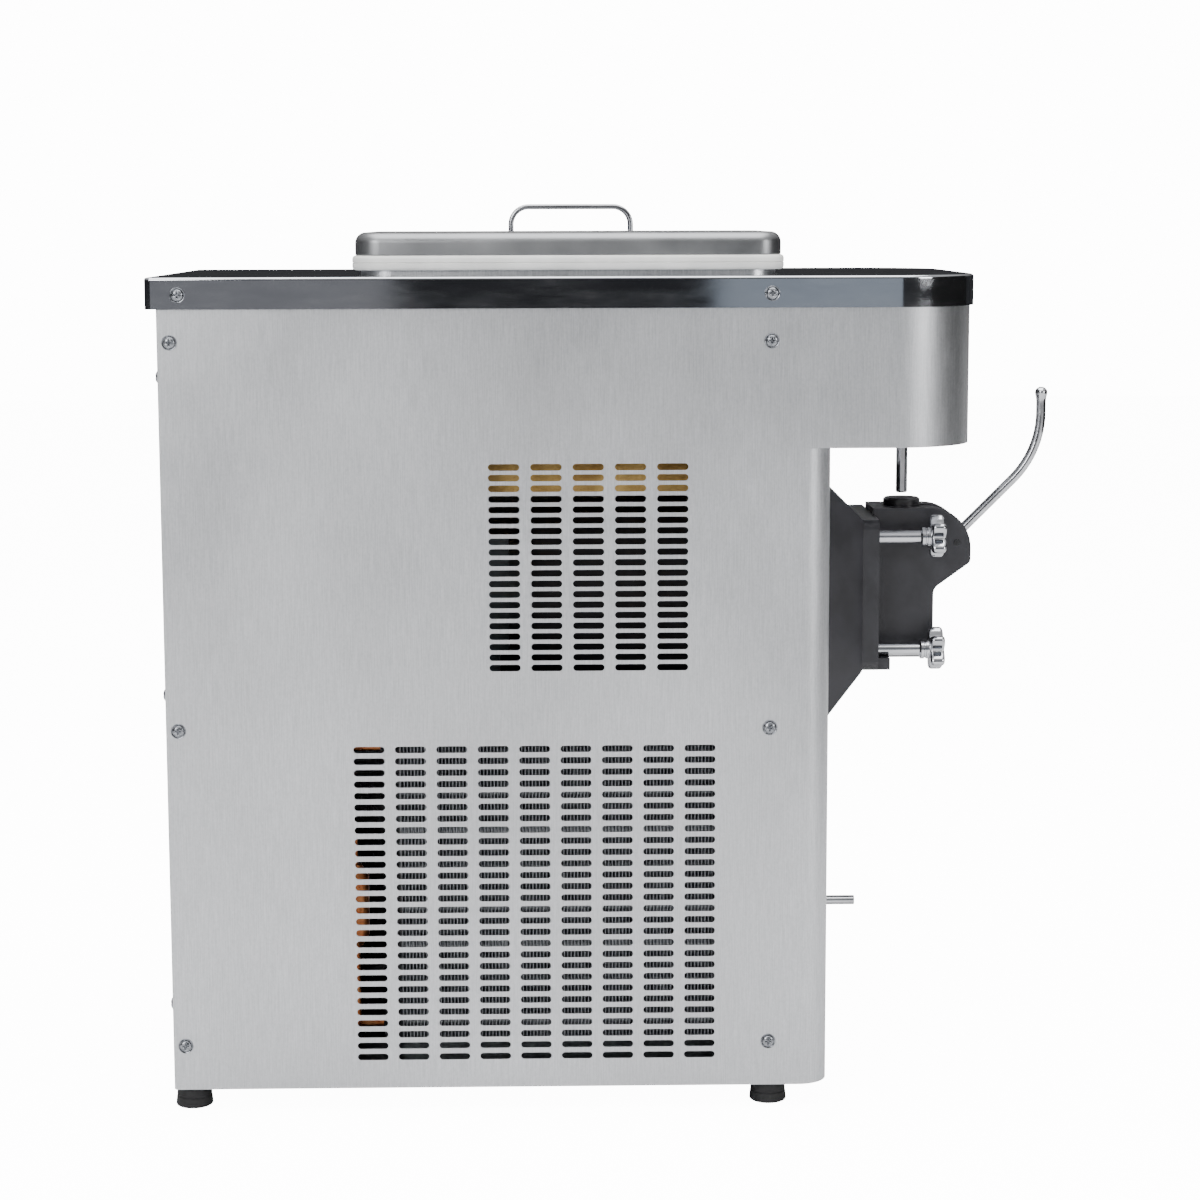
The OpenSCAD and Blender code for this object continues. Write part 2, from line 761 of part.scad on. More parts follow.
// Helical beater with its rear disc, front spider and front journal
module beater() {
    s0 = barrel_s + 12;
    s1 = face_s - 18;
    r = bore_d / 2 - 2;
    color(steel) from_rear() translate([0, 0, head_z]) {
        difference() {
            union() {
                rod_s(s0, s0 + 6, 2 * r);
                rod_s(s0 + 5, s0 + 18, 34);
            }
            block([-drive_sq / 2, s0 - 1, -drive_sq / 2], [drive_sq / 2, s0 + 15, drive_sq / 2]);
            for (a = [45:90:315]) rotate([0, a, 0]) translate([27, 0, 0]) rod_s(s0 - 1, s0 + 7, 14);
        }
        difference() {
            rod_s(s1 - 5, s1, 2 * r);
            for (a = [0:90:270]) rotate([0, a + 45, 0]) translate([24, 0, 0]) rod_s(s1 - 6, s1 + 1, 24);
        }
        rod_s(s1 - 1, face_s + 9, 14);
        for (side = [0, 180]) {
            translate([0, s0 + 3, 0]) rotate([-90, side, 0]) ribbon(r - 17, r - 8, 6, s1 - s0 - 6, 540);
        }
    }
}

// Helical ribbon from radius r0 to r1, t thick, climbing h over the given turn in degrees
module ribbon(r0, r1, t, h, turn) {
    rings = 72;
    points = [for (k = [0:rings], q = [[r0, t / 2], [r1, t / 2], [r1, -t / 2], [r0, -t / 2]])
        let (a = turn * k / rings)
            [q[0] * cos(a) - q[1] * sin(a), q[0] * sin(a) + q[1] * cos(a), h * k / rings]];
    polyhedron(points, sweep_faces(rings, 4));
}

// Two plastic scraper blades clipped between the beater's discs
module scraper_blades() {
    s0 = barrel_s + 18.1;
    s1 = face_s - 23.1;
    r = bore_d / 2 - 0.7;
    color("#f0efe8") from_rear() translate([0, 0, head_z]) for (side = [0, 180]) {
        rotate([0, side, 0]) block([r - 5.5, s0, -6], [r - 1, s1, 6]);
    }
}

// Shaft from the gearbox through the rear seal into the beater
module drive_shaft() {
    color(steel) from_rear() translate([0, 0, head_z]) {
        rod_s(gear_s1 - 18, barrel_s + 11.9, shaft_d);
        block([-drive_sq / 2, barrel_s + 11, -drive_sq / 2],
            [drive_sq / 2, barrel_s + 26, drive_sq / 2]);
    }
}

// Rear shaft seal in the cylinder's rear plate
module shaft_seal() {
    color("#202024") from_rear() translate([0, 0, head_z]) difference() {
        rod_s(barrel_s, barrel_s + barrel_plate, seal_d);
        rod_s(barrel_s - 1, barrel_s + barrel_plate + 1, shaft_d + 2 * run);
    }
}

// Gearbox between the belt drive and the cylinder
module gearbox() {
    color("#5d6468") from_rear() difference() {
        union() {
            block([-48, gear_s0, head_z - 50], [48, gear_s1, head_z + 50]);
            translate([0, 0, head_z]) rod_s(gear_s1 - 1, barrel_s, 90);
            translate([0, 0, head_z]) rod_s(gear_s0 - 6, gear_s0 + 1, 60);
            block([-40, gear_s0 + 8, deck_top], [40, gear_s1 - 8, head_z - 49]);
            block([-62, gear_s0 + 4, deck_top], [62, gear_s1 - 4, deck_top + 8]);
        }
        translate([0, 0, head_z]) rod_s(gear_s1 - 19, barrel_s + 1, shaft_d + 2 * run);
        translate([0, 0, head_z]) rod_s(gear_s0 - 7, gear_s0 + 18, 16 + 2 * run);
    }
}

// Flanged belt pulley about the depth axis, d at the bottom of the groove
module pulley(d, flange) {
    rod_s(belt_s - belt_w / 2 - 2.5, belt_s - belt_w / 2 - 0.5, d + 2 * flange);
    rod_s(belt_s - belt_w / 2 - 1, belt_s + belt_w / 2 + 1, d);
    rod_s(belt_s + belt_w / 2 + 0.5, belt_s + belt_w / 2 + 2.5, d + 2 * flange);
}

// Large pulley on the gearbox input shaft
module gearbox_pulley() {
    color("#9aa0a4") from_rear() translate([0, 0, head_z]) {
        difference() {
            pulley(big_pulley, 4);
            for (a = [0:60:300]) rotate([0, a, 0]) translate([34, 0, 0])
                rod_s(belt_s - belt_w, belt_s + belt_w, 22);
        }
        rod_s(belt_s - 12, gear_s0 + 17.5, 16);
    }
}

// Small pulley with the motor shaft
module motor_pulley() {
    color("#9aa0a4") from_rear() translate([motor_x, 0, head_z]) {
        pulley(small_pulley, 4);
        rod_s(motor_s1 - 19.5, belt_s + 10, 14);
    }
}

// Outline of the belt, standing off both pulleys by gap: an arc round each, joined by tangents
module belt_outline(gap) {
    r1 = big_pulley / 2 + gap;
    r2 = small_pulley / 2 + gap;
    wrap = acos((r1 - r2) / motor_x);
    polygon(concat(arc_points([0, 0], r1, wrap, 360 - wrap, 40),
        arc_points([motor_x, 0], r2, -wrap, wrap, 16)));
}

// Drive belt from the motor pulley to the gearbox pulley
module drive_belt() {
    gap = 0.4;
    color("#1b1b1d") from_rear() translate([0, belt_s + belt_w / 2, head_z]) rotate([90, 0, 0])
        linear_extrude(belt_w) difference() {
            belt_outline(gap + belt_t);
            belt_outline(gap);
        }
}

// Beater motor on its foot
module drive_motor() {
    s0 = motor_s1 - motor_l;
    color("#4a5258") from_rear() translate([motor_x, 0, 0]) difference() {
        union() {
            translate([0, 0, head_z]) rod_s(s0 + 16, motor_s1 - 16, motor_d);
            translate([0, 0, head_z]) rod_s(s0, s0 + 17, motor_d - 14);
            translate([0, 0, head_z]) rod_s(motor_s1 - 17, motor_s1, motor_d - 14);
            block([-46, s0 + 30, deck_top], [46, motor_s1 - 30, deck_top + 5]);
            block([-30, s0 + 34, deck_top], [30, motor_s1 - 34, head_z - motor_d / 2 + 14]);
            block([-32, s0 + 36, head_z + motor_d / 2 - 8], [32, s0 + 92, head_z + motor_d / 2 + 16]);
        }
        translate([0, 0, head_z]) rod_s(motor_s1 - 20, motor_s1 + 1, 14 + 2 * run);
    }
}

// Solid of the bezel: four faces sloping at 45 degrees from the panel to the head, grown by g
module bezel_solid(g) {
    w = flange_w / 2 + g;
    h = flange_h / 2 + g;
    r = bezel_reach;
    intersection() {
        translate([0, 0, head_z - 200]) linear_extrude(400)
            polygon([[-w - r, front_s], [w + r, front_s], [w + 2, face_s - 2], [w, face_s],
                [-w, face_s], [-w - 2, face_s - 2]]);
        translate([-200, 0, head_z]) rotate([90, 0, 90]) linear_extrude(400)
            polygon([[front_s, -h - r], [face_s - 2, -h - 2], [face_s, -h], [face_s, h],
                [face_s - 2, h + 2], [front_s, h + r]]);
    }
}

// Black bezel round the neck of the cylinder
module head_bezel() {
    wall = 4;
    color(charcoal) from_rear() difference() {
        bezel_solid(0);
        translate([0, -wall * 1.2, 0]) bezel_solid(-1);
        block([-barrel_flange_w / 2 - 1, front_s + 5, head_z - barrel_flange_h / 2 - 1],
            [barrel_flange_w / 2 + 1, face_s + 1, head_z + barrel_flange_h / 2 + 1]);
    }
}

// Points on an arc about c, from angle a0 to a1
function arc_points(c, r, a0, a1, n) =
    [for (i = [0:n]) [c[0] + r * cos(a0 + (a1 - a0) * i / n), c[1] + r * sin(a0 + (a1 - a0) * i / n)]];

// Side outline of the head: depth and height
module head_outline() {
    nose_r = 35;
    nose_s = pivot_s + 12;
    polygon(concat(
        [[body_s - 1, head_bottom]],
        arc_points([plunger_s + 21, head_bottom + 4], 4, -90, 0, 4),
        arc_points([plunger_s + 35, pivot_z - 45], 10, 180, 116, 5),
        arc_points([nose_s - 6, pivot_z - 14], 6, -64, 0, 5),
        arc_points([nose_s - nose_r, head_top - nose_r], nose_r, 0, 90, 12),
        [[body_s - 1, head_top]]));
}

// Dispensing head: flange, valve body and the two cheeks that hold the lever
module dispensing_head() {
    color(charcoal) from_rear() difference() {
        union() {
            translate([0, body_s, head_z]) rotate([90, 0, 0]) linear_extrude(flange_t)
                round_rect(flange_w, flange_h, 8);
            translate([-head_w / 2, 0, 0]) rotate([90, 0, 90]) linear_extrude(head_w) head_outline();
            block([-flange_w / 2 + 8, body_s - 1, head_z - flange_h / 2],
                [flange_w / 2 - 8, body_s + lip_t, head_z - stud_h / 2 - sleeve_d / 2 - 0.8]);
        }
        translate([0, plunger_s, head_bottom - 1])
            cylinder(h = head_top - head_bottom + 2, d = plunger_d + 2 * plunger_gap);
        translate([0, 0, feed_z]) rod_s(face_s - 1, plunger_s, feed_d);
        translate([0, 0, head_z]) rod_s(face_s - 1, face_s + 10, 14 + 2 * run);
        at_studs() rod_s(face_s - 1, body_s + 1, stud_d + 0.6);
        block([-slot_w / 2, plunger_s, slot_floor], [slot_w / 2, pivot_s + 40, head_top + 1]);
        translate([0, pivot_s, pivot_z]) rod_x(-head_w, head_w, pin_d);
    }
}

// O-ring between the head and the cylinder
module head_seal() {
    color("#202024") from_rear() translate([0, face_s - 2, head_z]) rotate([90, 0, 0])
        rotate_extrude() translate([bore_d / 2 + 5, 0]) circle(r = 2, $fn = 24);
}

// Four studs in the cylinder flange
module head_studs() {
    color(steel) from_rear() at_studs() rod_s(face_s - barrel_flange_t, body_s + 50, stud_d);
}

// Hand nut: long sleeve, hub and a five-lobed knob
module hand_nut() {
    lobe = 13;
    difference() {
        union() {
            rod_s(body_s, body_s + 40, sleeve_d);
            rod_s(body_s + 38, body_s + 46, 17);
            translate([0, body_s + 58, 0]) rotate([90, 0, 0]) linear_extrude(12.5) {
                circle(d = knob_d - 12);
                for (a = [18:72:306]) rotate(a) translate([(knob_d - lobe) / 2, 0]) circle(d = lobe);
            }
        }
        rod_s(body_s - 1, body_s + 52, stud_d + 2 * run);
    }
}

// One hand nut at the stud on side x, row z
module hand_nut_at(x, z) {
    color(steel) from_rear() translate([x * stud_w / 2, 0, head_z + z * stud_h / 2]) hand_nut();
}

module hand_nut_upper_left() {
    hand_nut_at(-1, 1);
}

module hand_nut_upper_right() {
    hand_nut_at(1, 1);
}

module hand_nut_lower_left() {
    hand_nut_at(-1, -1);
}

module hand_nut_lower_right() {
    hand_nut_at(1, -1);
}

// Valve plunger with the window for the lever arm
module valve_plunger() {
    color("#2c2c30") from_rear() translate([0, plunger_s, 0]) difference() {
        union() {
            translate([0, 0, plunger_foot]) cylinder(h = plunger_top - plunger_foot - 1.5, d = plunger_d);
            translate([0, 0, plunger_top - 1.5]) cylinder(h = 1.5, d1 = plunger_d, d2 = plunger_d - 3);
        }
        block([-lever_w / 2 - 0.8, -9, arm_end_z - arm_ball / 2 - 1],
            [lever_w / 2 + 0.8, plunger_d, arm_end_z + arm_ball / 2 + 1]);
        for (z = ring_z) translate([0, 0, z - ring_t / 2]) difference() {
            cylinder(h = ring_t, d = plunger_d + 1);
            translate([0, 0, -1]) cylinder(h = ring_t + 2, d = plunger_d - 2 * ring_t + 0.2);
        }
    }
}

// O-rings in the plunger grooves
module plunger_o_rings() {
    color("#b03a2e") from_rear() for (z = ring_z) translate([0, plunger_s, z])
        rotate_extrude() translate([plunger_d / 2 + 0.08 - ring_t / 2, 0]) circle(d = ring_t, $fn = 24);
}

// Star nozzle pressed into the outlet
module nozzle_star() {
    points = 6;
    color("#f2f2f0") from_rear() translate([0, plunger_s, head_bottom]) difference() {
        cylinder(h = nozzle_h, d = plunger_d + 2 * plunger_gap);
        translate([0, 0, -1]) linear_extrude(nozzle_h + 2)
            polygon([for (i = [0:2 * points - 1])
                let (r = i % 2 == 0 ? 11.5 : 6.5) [r * cos(i * 180 / points), r * sin(i * 180 / points)]]);
    }
}

// Lever: hub, arm into the plunger, rod, bend and rounded tip
module lever() {
    color(steel) from_rear() difference() {
        union() {
            translate([0, pivot_s, pivot_z]) rod_x(-slot_w / 2 + 0.6, slot_w / 2 - 0.6, 17);
            translate([0, plunger_s, arm_end_z]) rod_x(-lever_w / 2, lever_w / 2, arm_ball);
            translate([0, pivot_s, pivot_z]) rotate([lever_swing / 2, 0, 0])
                block([-lever_w / 2, -arm_l, -arm_t / 2], [lever_w / 2, 0, arm_t / 2]);
            translate([0, pivot_s, pivot_z]) rotate([45, 0, 0])
                rod_s(0, (bend_s - pivot_s) / cos(45), lever_d);
            translate([0, bend_s - lever_bend * sin(45), bend_z + lever_bend * cos(45)])
                rotate([90, 0, 90]) rotate(-45.3) rotate_extrude(angle = 45.6)
                    translate([lever_bend, 0]) circle(d = lever_d - 0.04);
            translate([0, lever_tip_s, lever_top_z - lever_end]) rotate_extrude()
                polygon(concat([[0, 0], [lever_d / 2, 0]],
                    arc_points([0, lever_end], lever_tip_r, 0, 90, 8)));
        }
        translate([0, pivot_s, pivot_z]) rod_x(-slot_w, slot_w, pin_d + 2 * run);
    }
}

// Pin through both cheeks of the head
module lever_pin() {
    color("#2a2a2c") from_rear() translate([0, pivot_s, pivot_z])
        rod_x(-head_w / 2 - 0.6, head_w / 2 + 0.6, pin_d);
}

// Rod that the plunger lifts to start the drive
module switch_rod() {
    color(steel) from_rear() translate([0, plunger_s, 0]) {
        translate([0, 0, rod_foot + 1]) cylinder(h = rod_top - rod_foot - 1, d = rod_d);
        translate([0, 0, rod_foot]) cylinder(h = 1, d1 = rod_d - 2, d2 = rod_d);
        translate([0, 0, collar_z]) cylinder(h = 3, d = rod_d + 8);
    }
}

// Flanged guide of the switch rod in the visor floor
module rod_bushing() {
    color("#e4e4e0") from_rear() translate([0, plunger_s, 0]) difference() {
        union() {
            translate([0, 0, visor_z]) cylinder(h = sheet, d = 16);
            translate([0, 0, visor_floor]) cylinder(h = bushing_h, d = 24);
        }
        translate([0, 0, visor_z - 1]) cylinder(h = bushing_h + 4, d = rod_d + 2 * run);
    }
}

// One ring of points round a helix of radius r, rising h a turn, at angle a
function helix_ring(r, h, a, wire, n) =
    [for (i = [0:n - 1]) let (b = 360 * i / n, q = r + wire / 2 * cos(b))
        [q * cos(a), q * sin(a), h * a / 360 + wire / 2 * sin(b)]];

// Return spring round the rod, between its collar and the switch bridge
module rod_spring() {
    turns = 6;
    wire = 1.6;
    sides = 8;
    rings = 16 * turns;
    z0 = collar_z + 3.1 + wire / 2;
    rise = (spring_top - 0.1 - wire / 2 - z0) / turns;
    points = [for (k = [0:rings]) each helix_ring(rod_d / 2 + 2, rise, 360 * k / 16, wire, sides)];
    color(steel) from_rear() translate([0, plunger_s, z0])
        polyhedron(points, sweep_faces(rings, sides));
}

// Microswitch over the rod, on the bridge that also holds the spring
module microswitch() {
    top = rod_top + rod_travel + 1.6;
    color("#2b4c7a") from_rear() translate([0, plunger_s, 0]) difference() {
        union() {
            for (side = [-1, 1]) {
                translate([side * 22, 0, 0]) block([-2, -10, visor_floor], [2, 10, spring_top + bridge_t]);
            }
            block([-24, -10, spring_top], [24, 10, spring_top + bridge_t]);
            block([-24, -10, spring_top], [-20, 10, top + 14]);
            block([-24, -7, top], [10, 7, top + 14]);
        }
        translate([0, 0, spring_top - 1]) cylinder(h = bridge_t + 2, d = rod_d + 2);
    }
}

// Stainless outlet of the seal drain, at the foot of the front panel
module drain_tube() {
    color(steel) from_rear() translate([0, 0, drain_z]) difference() {
        union() {
            rod_s(seam_s - 20, front_s + 40, drain_d);
            rod_s(front_s, front_s + 1.6, drain_d + 6);
        }
        rod_s(seam_s - 21, front_s + 41, drain_d - 2.3);
    }
}

// Control fascia with its button holes and display cut-out
module control_fascia() {
    color("#222226") from_rear() difference() {
        translate([0, visor_s + fascia_t, fascia_z + fascia_h / 2]) rotate([90, 0, 0])
            linear_extrude(fascia_t) round_rect(fascia_w, fascia_h, 6);
        for (i = [-1:1]) {
            translate([i * button_pitch, 0, button_z]) rod_s(visor_s - 1, visor_s + 4, button_d + 0.8);
        }
        block([-window_w / 2, visor_s - 1, window_z], [window_w / 2, visor_s + 4, window_z + window_h]);
    }
}

// Display window in the fascia
module display_window() {
    color("#14303c") from_rear()
        block([-window_w / 2, visor_s - sheet, window_z], [window_w / 2, visor_s + 2, window_z + window_h]);
}

// Push button at place i: cap, stem and the flange that keeps it in
module push_button(i) {
    color("#d8d8d4") from_rear() translate([i * button_pitch, 0, button_z]) {
        rod_s(board_s + 1.6 + button_travel + 0.4, visor_s + fascia_t + 1, 6);
        rod_s(visor_s - sheet - 3, visor_s + fascia_t + 0.8, button_d);
        rod_s(visor_s + fascia_t, visor_s + fascia_t + 1.5, button_d - 1);
        rod_s(visor_s - sheet - 2.3, visor_s - sheet, button_d + 3);
    }
}

module button_left() {
    push_button(-1);
}

module button_middle() {
    push_button(0);
}

module button_right() {
    push_button(1);
}

// Control board on four pillars behind the fascia
module control_board() {
    color("#2e6b3c") from_rear() {
        block([-70, board_s, button_z - 14], [70, board_s + 1.6, window_z + window_h + 6]);
        for (x = [-62, 62], z = [button_z - 8, window_z + window_h]) {
            translate([x, 0, z]) rod_s(board_s + 1, visor_s - sheet, 6);
        }
        block([-30, board_s - 12, button_z], [40, board_s, button_z + 30]);
    }
}

// Hermetic compressor on its rubber grommets
module compressor() {
    color("#26282b") from_rear() translate([comp_x, comp_s, 0]) {
        intersection() {
            translate([0, 0, comp_z]) sphere(r = 100);
            translate([0, 0, 40]) cylinder(h = 210, d = 156);
        }
        block([-84, -64, base_top + 18], [84, 64, base_top + 21]);
        for (x = [-74, 74], s = [-54, 54]) {
            translate([x, s, base_top]) cylinder(h = 26, d = 22);
        }
        for (x = [-30, 30]) translate([x, 0, comp_z]) cylinder(h = 112, d = 10);
    }
}

// Air-cooled condenser: fin pack, end plates and return bends
module condenser() {
    tubes = 8;
    pitch = (cond_z1 - cond_z0) / tubes;
    x0 = -cond_x0;
    x1 = cond_depth - cond_x0;
    color("#9da3a6") from_rear() {
        block([x0, cond_s0, cond_z0], [x1, cond_s1, cond_z1]);
        for (s = [cond_s0 - cond_plate, cond_s1]) {
            block([x0 - 2, s, base_top], [x1 + 2, s + cond_plate, cond_z1]);
        }
        for (i = [0:tubes / 2 - 1], x = [x0 + 10, x1 - 10]) {
            translate([x, cond_s1 + cond_plate - 0.5, cond_z0 + (2 * i + 1) * pitch])
                rotate([0, -90, 0]) rotate_extrude(angle = 180)
                    translate([pitch / 2, 0]) circle(d = 9, $fn = 24);
        }
        translate([(x0 + x1) / 2, 0, cond_z1 - 12]) rod_s(cond_s0 - 12, cond_s0, 10);
        translate([(x0 + x1) / 2, 0, cond_z0 + 12]) rod_s(cond_s0 - 12, cond_s0, 10);
    }
}

// Sheet shroud between the condenser and the fan
module fan_shroud() {
    x0 = cond_depth - cond_x0 + 2;
    x1 = -fan_x - 4;
    color("#5f6468") from_rear() difference() {
        union() {
            block([x0, cond_s0 - cond_plate, base_top], [x1, cond_s1 + cond_plate, cond_z1]);
            translate([x1 - 1, cond_mid, cond_mid_z]) rod_x(0, 13, fan_d + 10);
        }
        block([x0 - 1, cond_s0 - cond_plate + sheet, base_top + sheet],
            [x1 - sheet, cond_s1 + cond_plate - sheet, cond_z1 - sheet]);
        translate([x0 - 1, cond_mid, cond_mid_z]) rod_x(0, x1 - x0 + 20, fan_d + 7);
    }
}

// Fan motor with the bracket that spans the shroud
module fan_motor() {
    x1 = -fan_x - 4;
    color("#3b3f42") from_rear() difference() {
        union() {
            for (z = [cond_z0 - 8, cond_z1 - 12]) {
                block([x1, cond_mid - 12, z], [-bracket_x + 3, cond_mid + 12, z + 12]);
            }
            block([-bracket_x, cond_mid - 12, cond_z0 - 8], [-bracket_x + 3, cond_mid + 12, cond_z1]);
            translate([-bracket_x, cond_mid, cond_mid_z]) rod_x(0, 52, 76);
        }
        translate([-bracket_x - 1, cond_mid, cond_mid_z]) rod_x(0, 22, 8 + 2 * run);
    }
}

// Five-bladed fan with its shaft
module fan_blade() {
    color("#2f3a44") from_rear() translate([-fan_x, cond_mid, cond_mid_z]) {
        rod_x(-8, 10, 52);
        rod_x(0, fan_x - bracket_x + 20, 8);
        intersection() {
            for (a = [0:72:288]) rotate([a, 0, 0]) translate([0, 0, 20]) rotate([0, 0, 32])
                block([-1.5, -24, 0], [1.5, 24, 100]);
            rod_x(-20, 20, fan_d);
        }
    }
}

// Tube along a list of points, with round elbows
module tube_path(points, d) {
    for (i = [0:len(points) - 2]) {
        v = points[i + 1] - points[i];
        translate(points[i]) rotate([0, acos(v[2] / norm(v)), atan2(v[1], v[0])])
            cylinder(h = norm(v), d = d, $fn = 24);
    }
    for (i = [1:len(points) - 2]) translate(points[i]) sphere(d = d + 0.5, $fn = 24);
}

// Copper lines: discharge to the condenser, liquid up to the coil, and suction back
module refrigerant_pipes() {
    drop_x = -90;
    drop_s = belt_s - 60;
    top = deck_z + 40;
    color(copper) from_rear() {
        tube_path([[comp_x - 30, comp_s, comp_z + 112], [comp_x - 30, comp_s, comp_z + 130],
            [stub_x, comp_s, comp_z + 130], [stub_x, comp_s, cond_z1 - 12],
            [stub_x, cond_s0 - 12, cond_z1 - 12]], 8);
        tube_path([[stub_x, cond_s0 - 12, cond_z0 + 12], [stub_x, cond_s0 - 34, cond_z0 + 12],
            [stub_x, cond_s0 - 34, drier_z]], 6);
        tube_path([[stub_x, cond_s0 - 34, drier_z + 70], [stub_x, cond_s0 - 34, drier_z + 92],
            [drop_x - 8, drop_s, drier_z + 100], [drop_x - 8, drop_s, top]], 4);
        tube_path([[comp_x + 30, comp_s, comp_z + 112], [comp_x + 30, comp_s, comp_z + 122],
            [drop_x + 8, drop_s - 8, comp_z + 154], [drop_x + 8, drop_s - 8, top]], 8);
    }
}

// Filter drier in the liquid line
module filter_drier() {
    color(copper) from_rear() translate([stub_x, cond_s0 - 34, drier_z]) {
        cylinder(h = 10, d1 = 10, d2 = 22);
        translate([0, 0, 10]) cylinder(h = 50, d = 22);
        translate([0, 0, 60]) cylinder(h = 10, d1 = 22, d2 = 10);
    }
}

// Gland where a supply cord would enter the rear panel
module cord_gland() {
    color("#1c1c1e") from_rear() translate([gland_x, 0, gland_z]) difference() {
        union() {
            rod_s(rear_gap - sheet, rear_gap, 20.4);
            rod_s(rear_gap - sheet - 7, rear_gap - sheet, 27);
            rod_s(rear_gap, rear_gap + 12, 26);
        }
        rod_s(-1, rear_gap + 14, 9);
    }
}

base_plate();
frame();
side_panel_left();
side_panel_right();
rear_panel();
front_panel();
visor_shell();
top_cover();
feet();
panel_screws();
hopper();
hopper_insulation();
feed_tube();
hopper_lid();
lid_gasket();
lid_handle();
freezing_cylinder();
evaporator_coil();
cylinder_insulation();
beater();
scraper_blades();
drive_shaft();
shaft_seal();
gearbox();
gearbox_pulley();
drive_belt();
motor_pulley();
drive_motor();
head_bezel();
dispensing_head();
head_seal();
head_studs();
hand_nut_upper_left();
hand_nut_upper_right();
hand_nut_lower_left();
hand_nut_lower_right();
valve_plunger();
plunger_o_rings();
nozzle_star();
lever();
lever_pin();
switch_rod();
rod_bushing();
rod_spring();
microswitch();
drain_tube();
control_fascia();
display_window();
button_left();
button_middle();
button_right();
control_board();
compressor();
condenser();
fan_shroud();
fan_motor();
fan_blade();
refrigerant_pipes();
filter_drier();
cord_gland();
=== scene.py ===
"""Looks of a countertop soft-serve ice cream machine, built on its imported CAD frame.

All lengths in the code below are millimetres in the CAD frame unless a name says otherwise; they
turn to metres when a piece is made. The front of the machine faces -Y and +Z is up.
"""

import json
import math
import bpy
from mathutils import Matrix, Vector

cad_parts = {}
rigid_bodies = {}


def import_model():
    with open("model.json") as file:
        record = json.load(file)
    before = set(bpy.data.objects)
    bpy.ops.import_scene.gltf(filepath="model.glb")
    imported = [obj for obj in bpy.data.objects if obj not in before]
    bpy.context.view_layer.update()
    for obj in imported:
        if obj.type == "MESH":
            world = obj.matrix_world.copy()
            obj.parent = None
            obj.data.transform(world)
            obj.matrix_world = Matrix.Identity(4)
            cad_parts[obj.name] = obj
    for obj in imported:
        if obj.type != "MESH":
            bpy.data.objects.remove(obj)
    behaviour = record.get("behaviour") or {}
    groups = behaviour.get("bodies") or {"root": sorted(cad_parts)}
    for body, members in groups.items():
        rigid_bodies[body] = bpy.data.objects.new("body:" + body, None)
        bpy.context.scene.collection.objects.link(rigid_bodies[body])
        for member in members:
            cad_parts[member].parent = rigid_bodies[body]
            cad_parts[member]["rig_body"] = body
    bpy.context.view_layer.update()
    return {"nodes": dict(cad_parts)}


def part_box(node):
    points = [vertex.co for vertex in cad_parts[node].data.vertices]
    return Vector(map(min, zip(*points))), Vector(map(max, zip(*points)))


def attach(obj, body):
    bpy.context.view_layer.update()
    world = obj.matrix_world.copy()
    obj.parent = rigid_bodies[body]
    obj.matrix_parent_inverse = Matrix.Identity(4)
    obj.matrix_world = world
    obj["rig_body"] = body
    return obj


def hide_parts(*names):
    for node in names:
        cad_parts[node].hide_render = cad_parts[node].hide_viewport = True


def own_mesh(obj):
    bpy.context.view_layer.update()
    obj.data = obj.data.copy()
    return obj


bl_info = {
    "name": "Soft-serve machine looks",
    "version": (1, 0, 0),
    "blender": (4, 5, 0),
    "location": "View3D > Sidebar > Soft serve",
    "description": "Detailed pieces and finishes for a soft-serve ice cream machine",
    "category": "Object",
}

import bmesh
import bpy
import numpy as np
from bpy.props import FloatProperty, FloatVectorProperty, IntProperty, PointerProperty, StringProperty
from mathutils import Matrix, Vector

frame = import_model()
NODES = frame["nodes"]
MM = 0.001

# Places in mm that several pieces share.
BACK = 378.81               # rear edge of the cover, in y; depths below are measured forward from it
HEAD_Z = 416.0              # middle of the dispensing head
STUD_RISE = 48.6            # a stud's height over or under that middle
PIVOT = (676.0, 457.0)      # lever pin: depth and height
PLUNGER_DEPTH = 631.0       # axis of the valve plunger
BALL_Z = 447.02             # ball on the lever's arm, at rest
LEVER_BEND = 82.0           # radius of the lever's bend
SIDE_X = 172.0              # outer face of a side panel
SKIRT_X = 175.0             # seat of the skirt's screws
REAR_SCREW_X = 159.8        # column of screws on the rear panel
RIM_Z = 694.0               # top of the hopper's rim
CORE_Z = (50.0, 312.0)      # foot and top of the condenser's core

# The camera's place in metres, and its yaw, pitch and roll in degrees.
CAMERA_AT = (-2.3957, 0.0604, 0.736)
CAMERA_TURN = (1.17, 7.88, 0.16)


def low(node):
    """Lowest corner of a CAD node, in mm."""
    return np.array(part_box(node)[0]) / MM


def high(node):
    """Highest corner of a CAD node, in mm."""
    return np.array(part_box(node)[1]) / MM


# ---------------------------------------------------------------- shapes

# A shape is a pair: an array of points in mm, and a list of faces as tuples of point numbers.


def merged(*shapes):
    """One shape from several: the points are stacked, and each face's numbers shifted to match."""
    points, faces, start = [], [], 0
    for p, f in shapes:
        points.append(p)
        faces += [tuple(int(i) + start for i in face) for face in f]
        start += len(p)
    return np.concatenate(points), faces


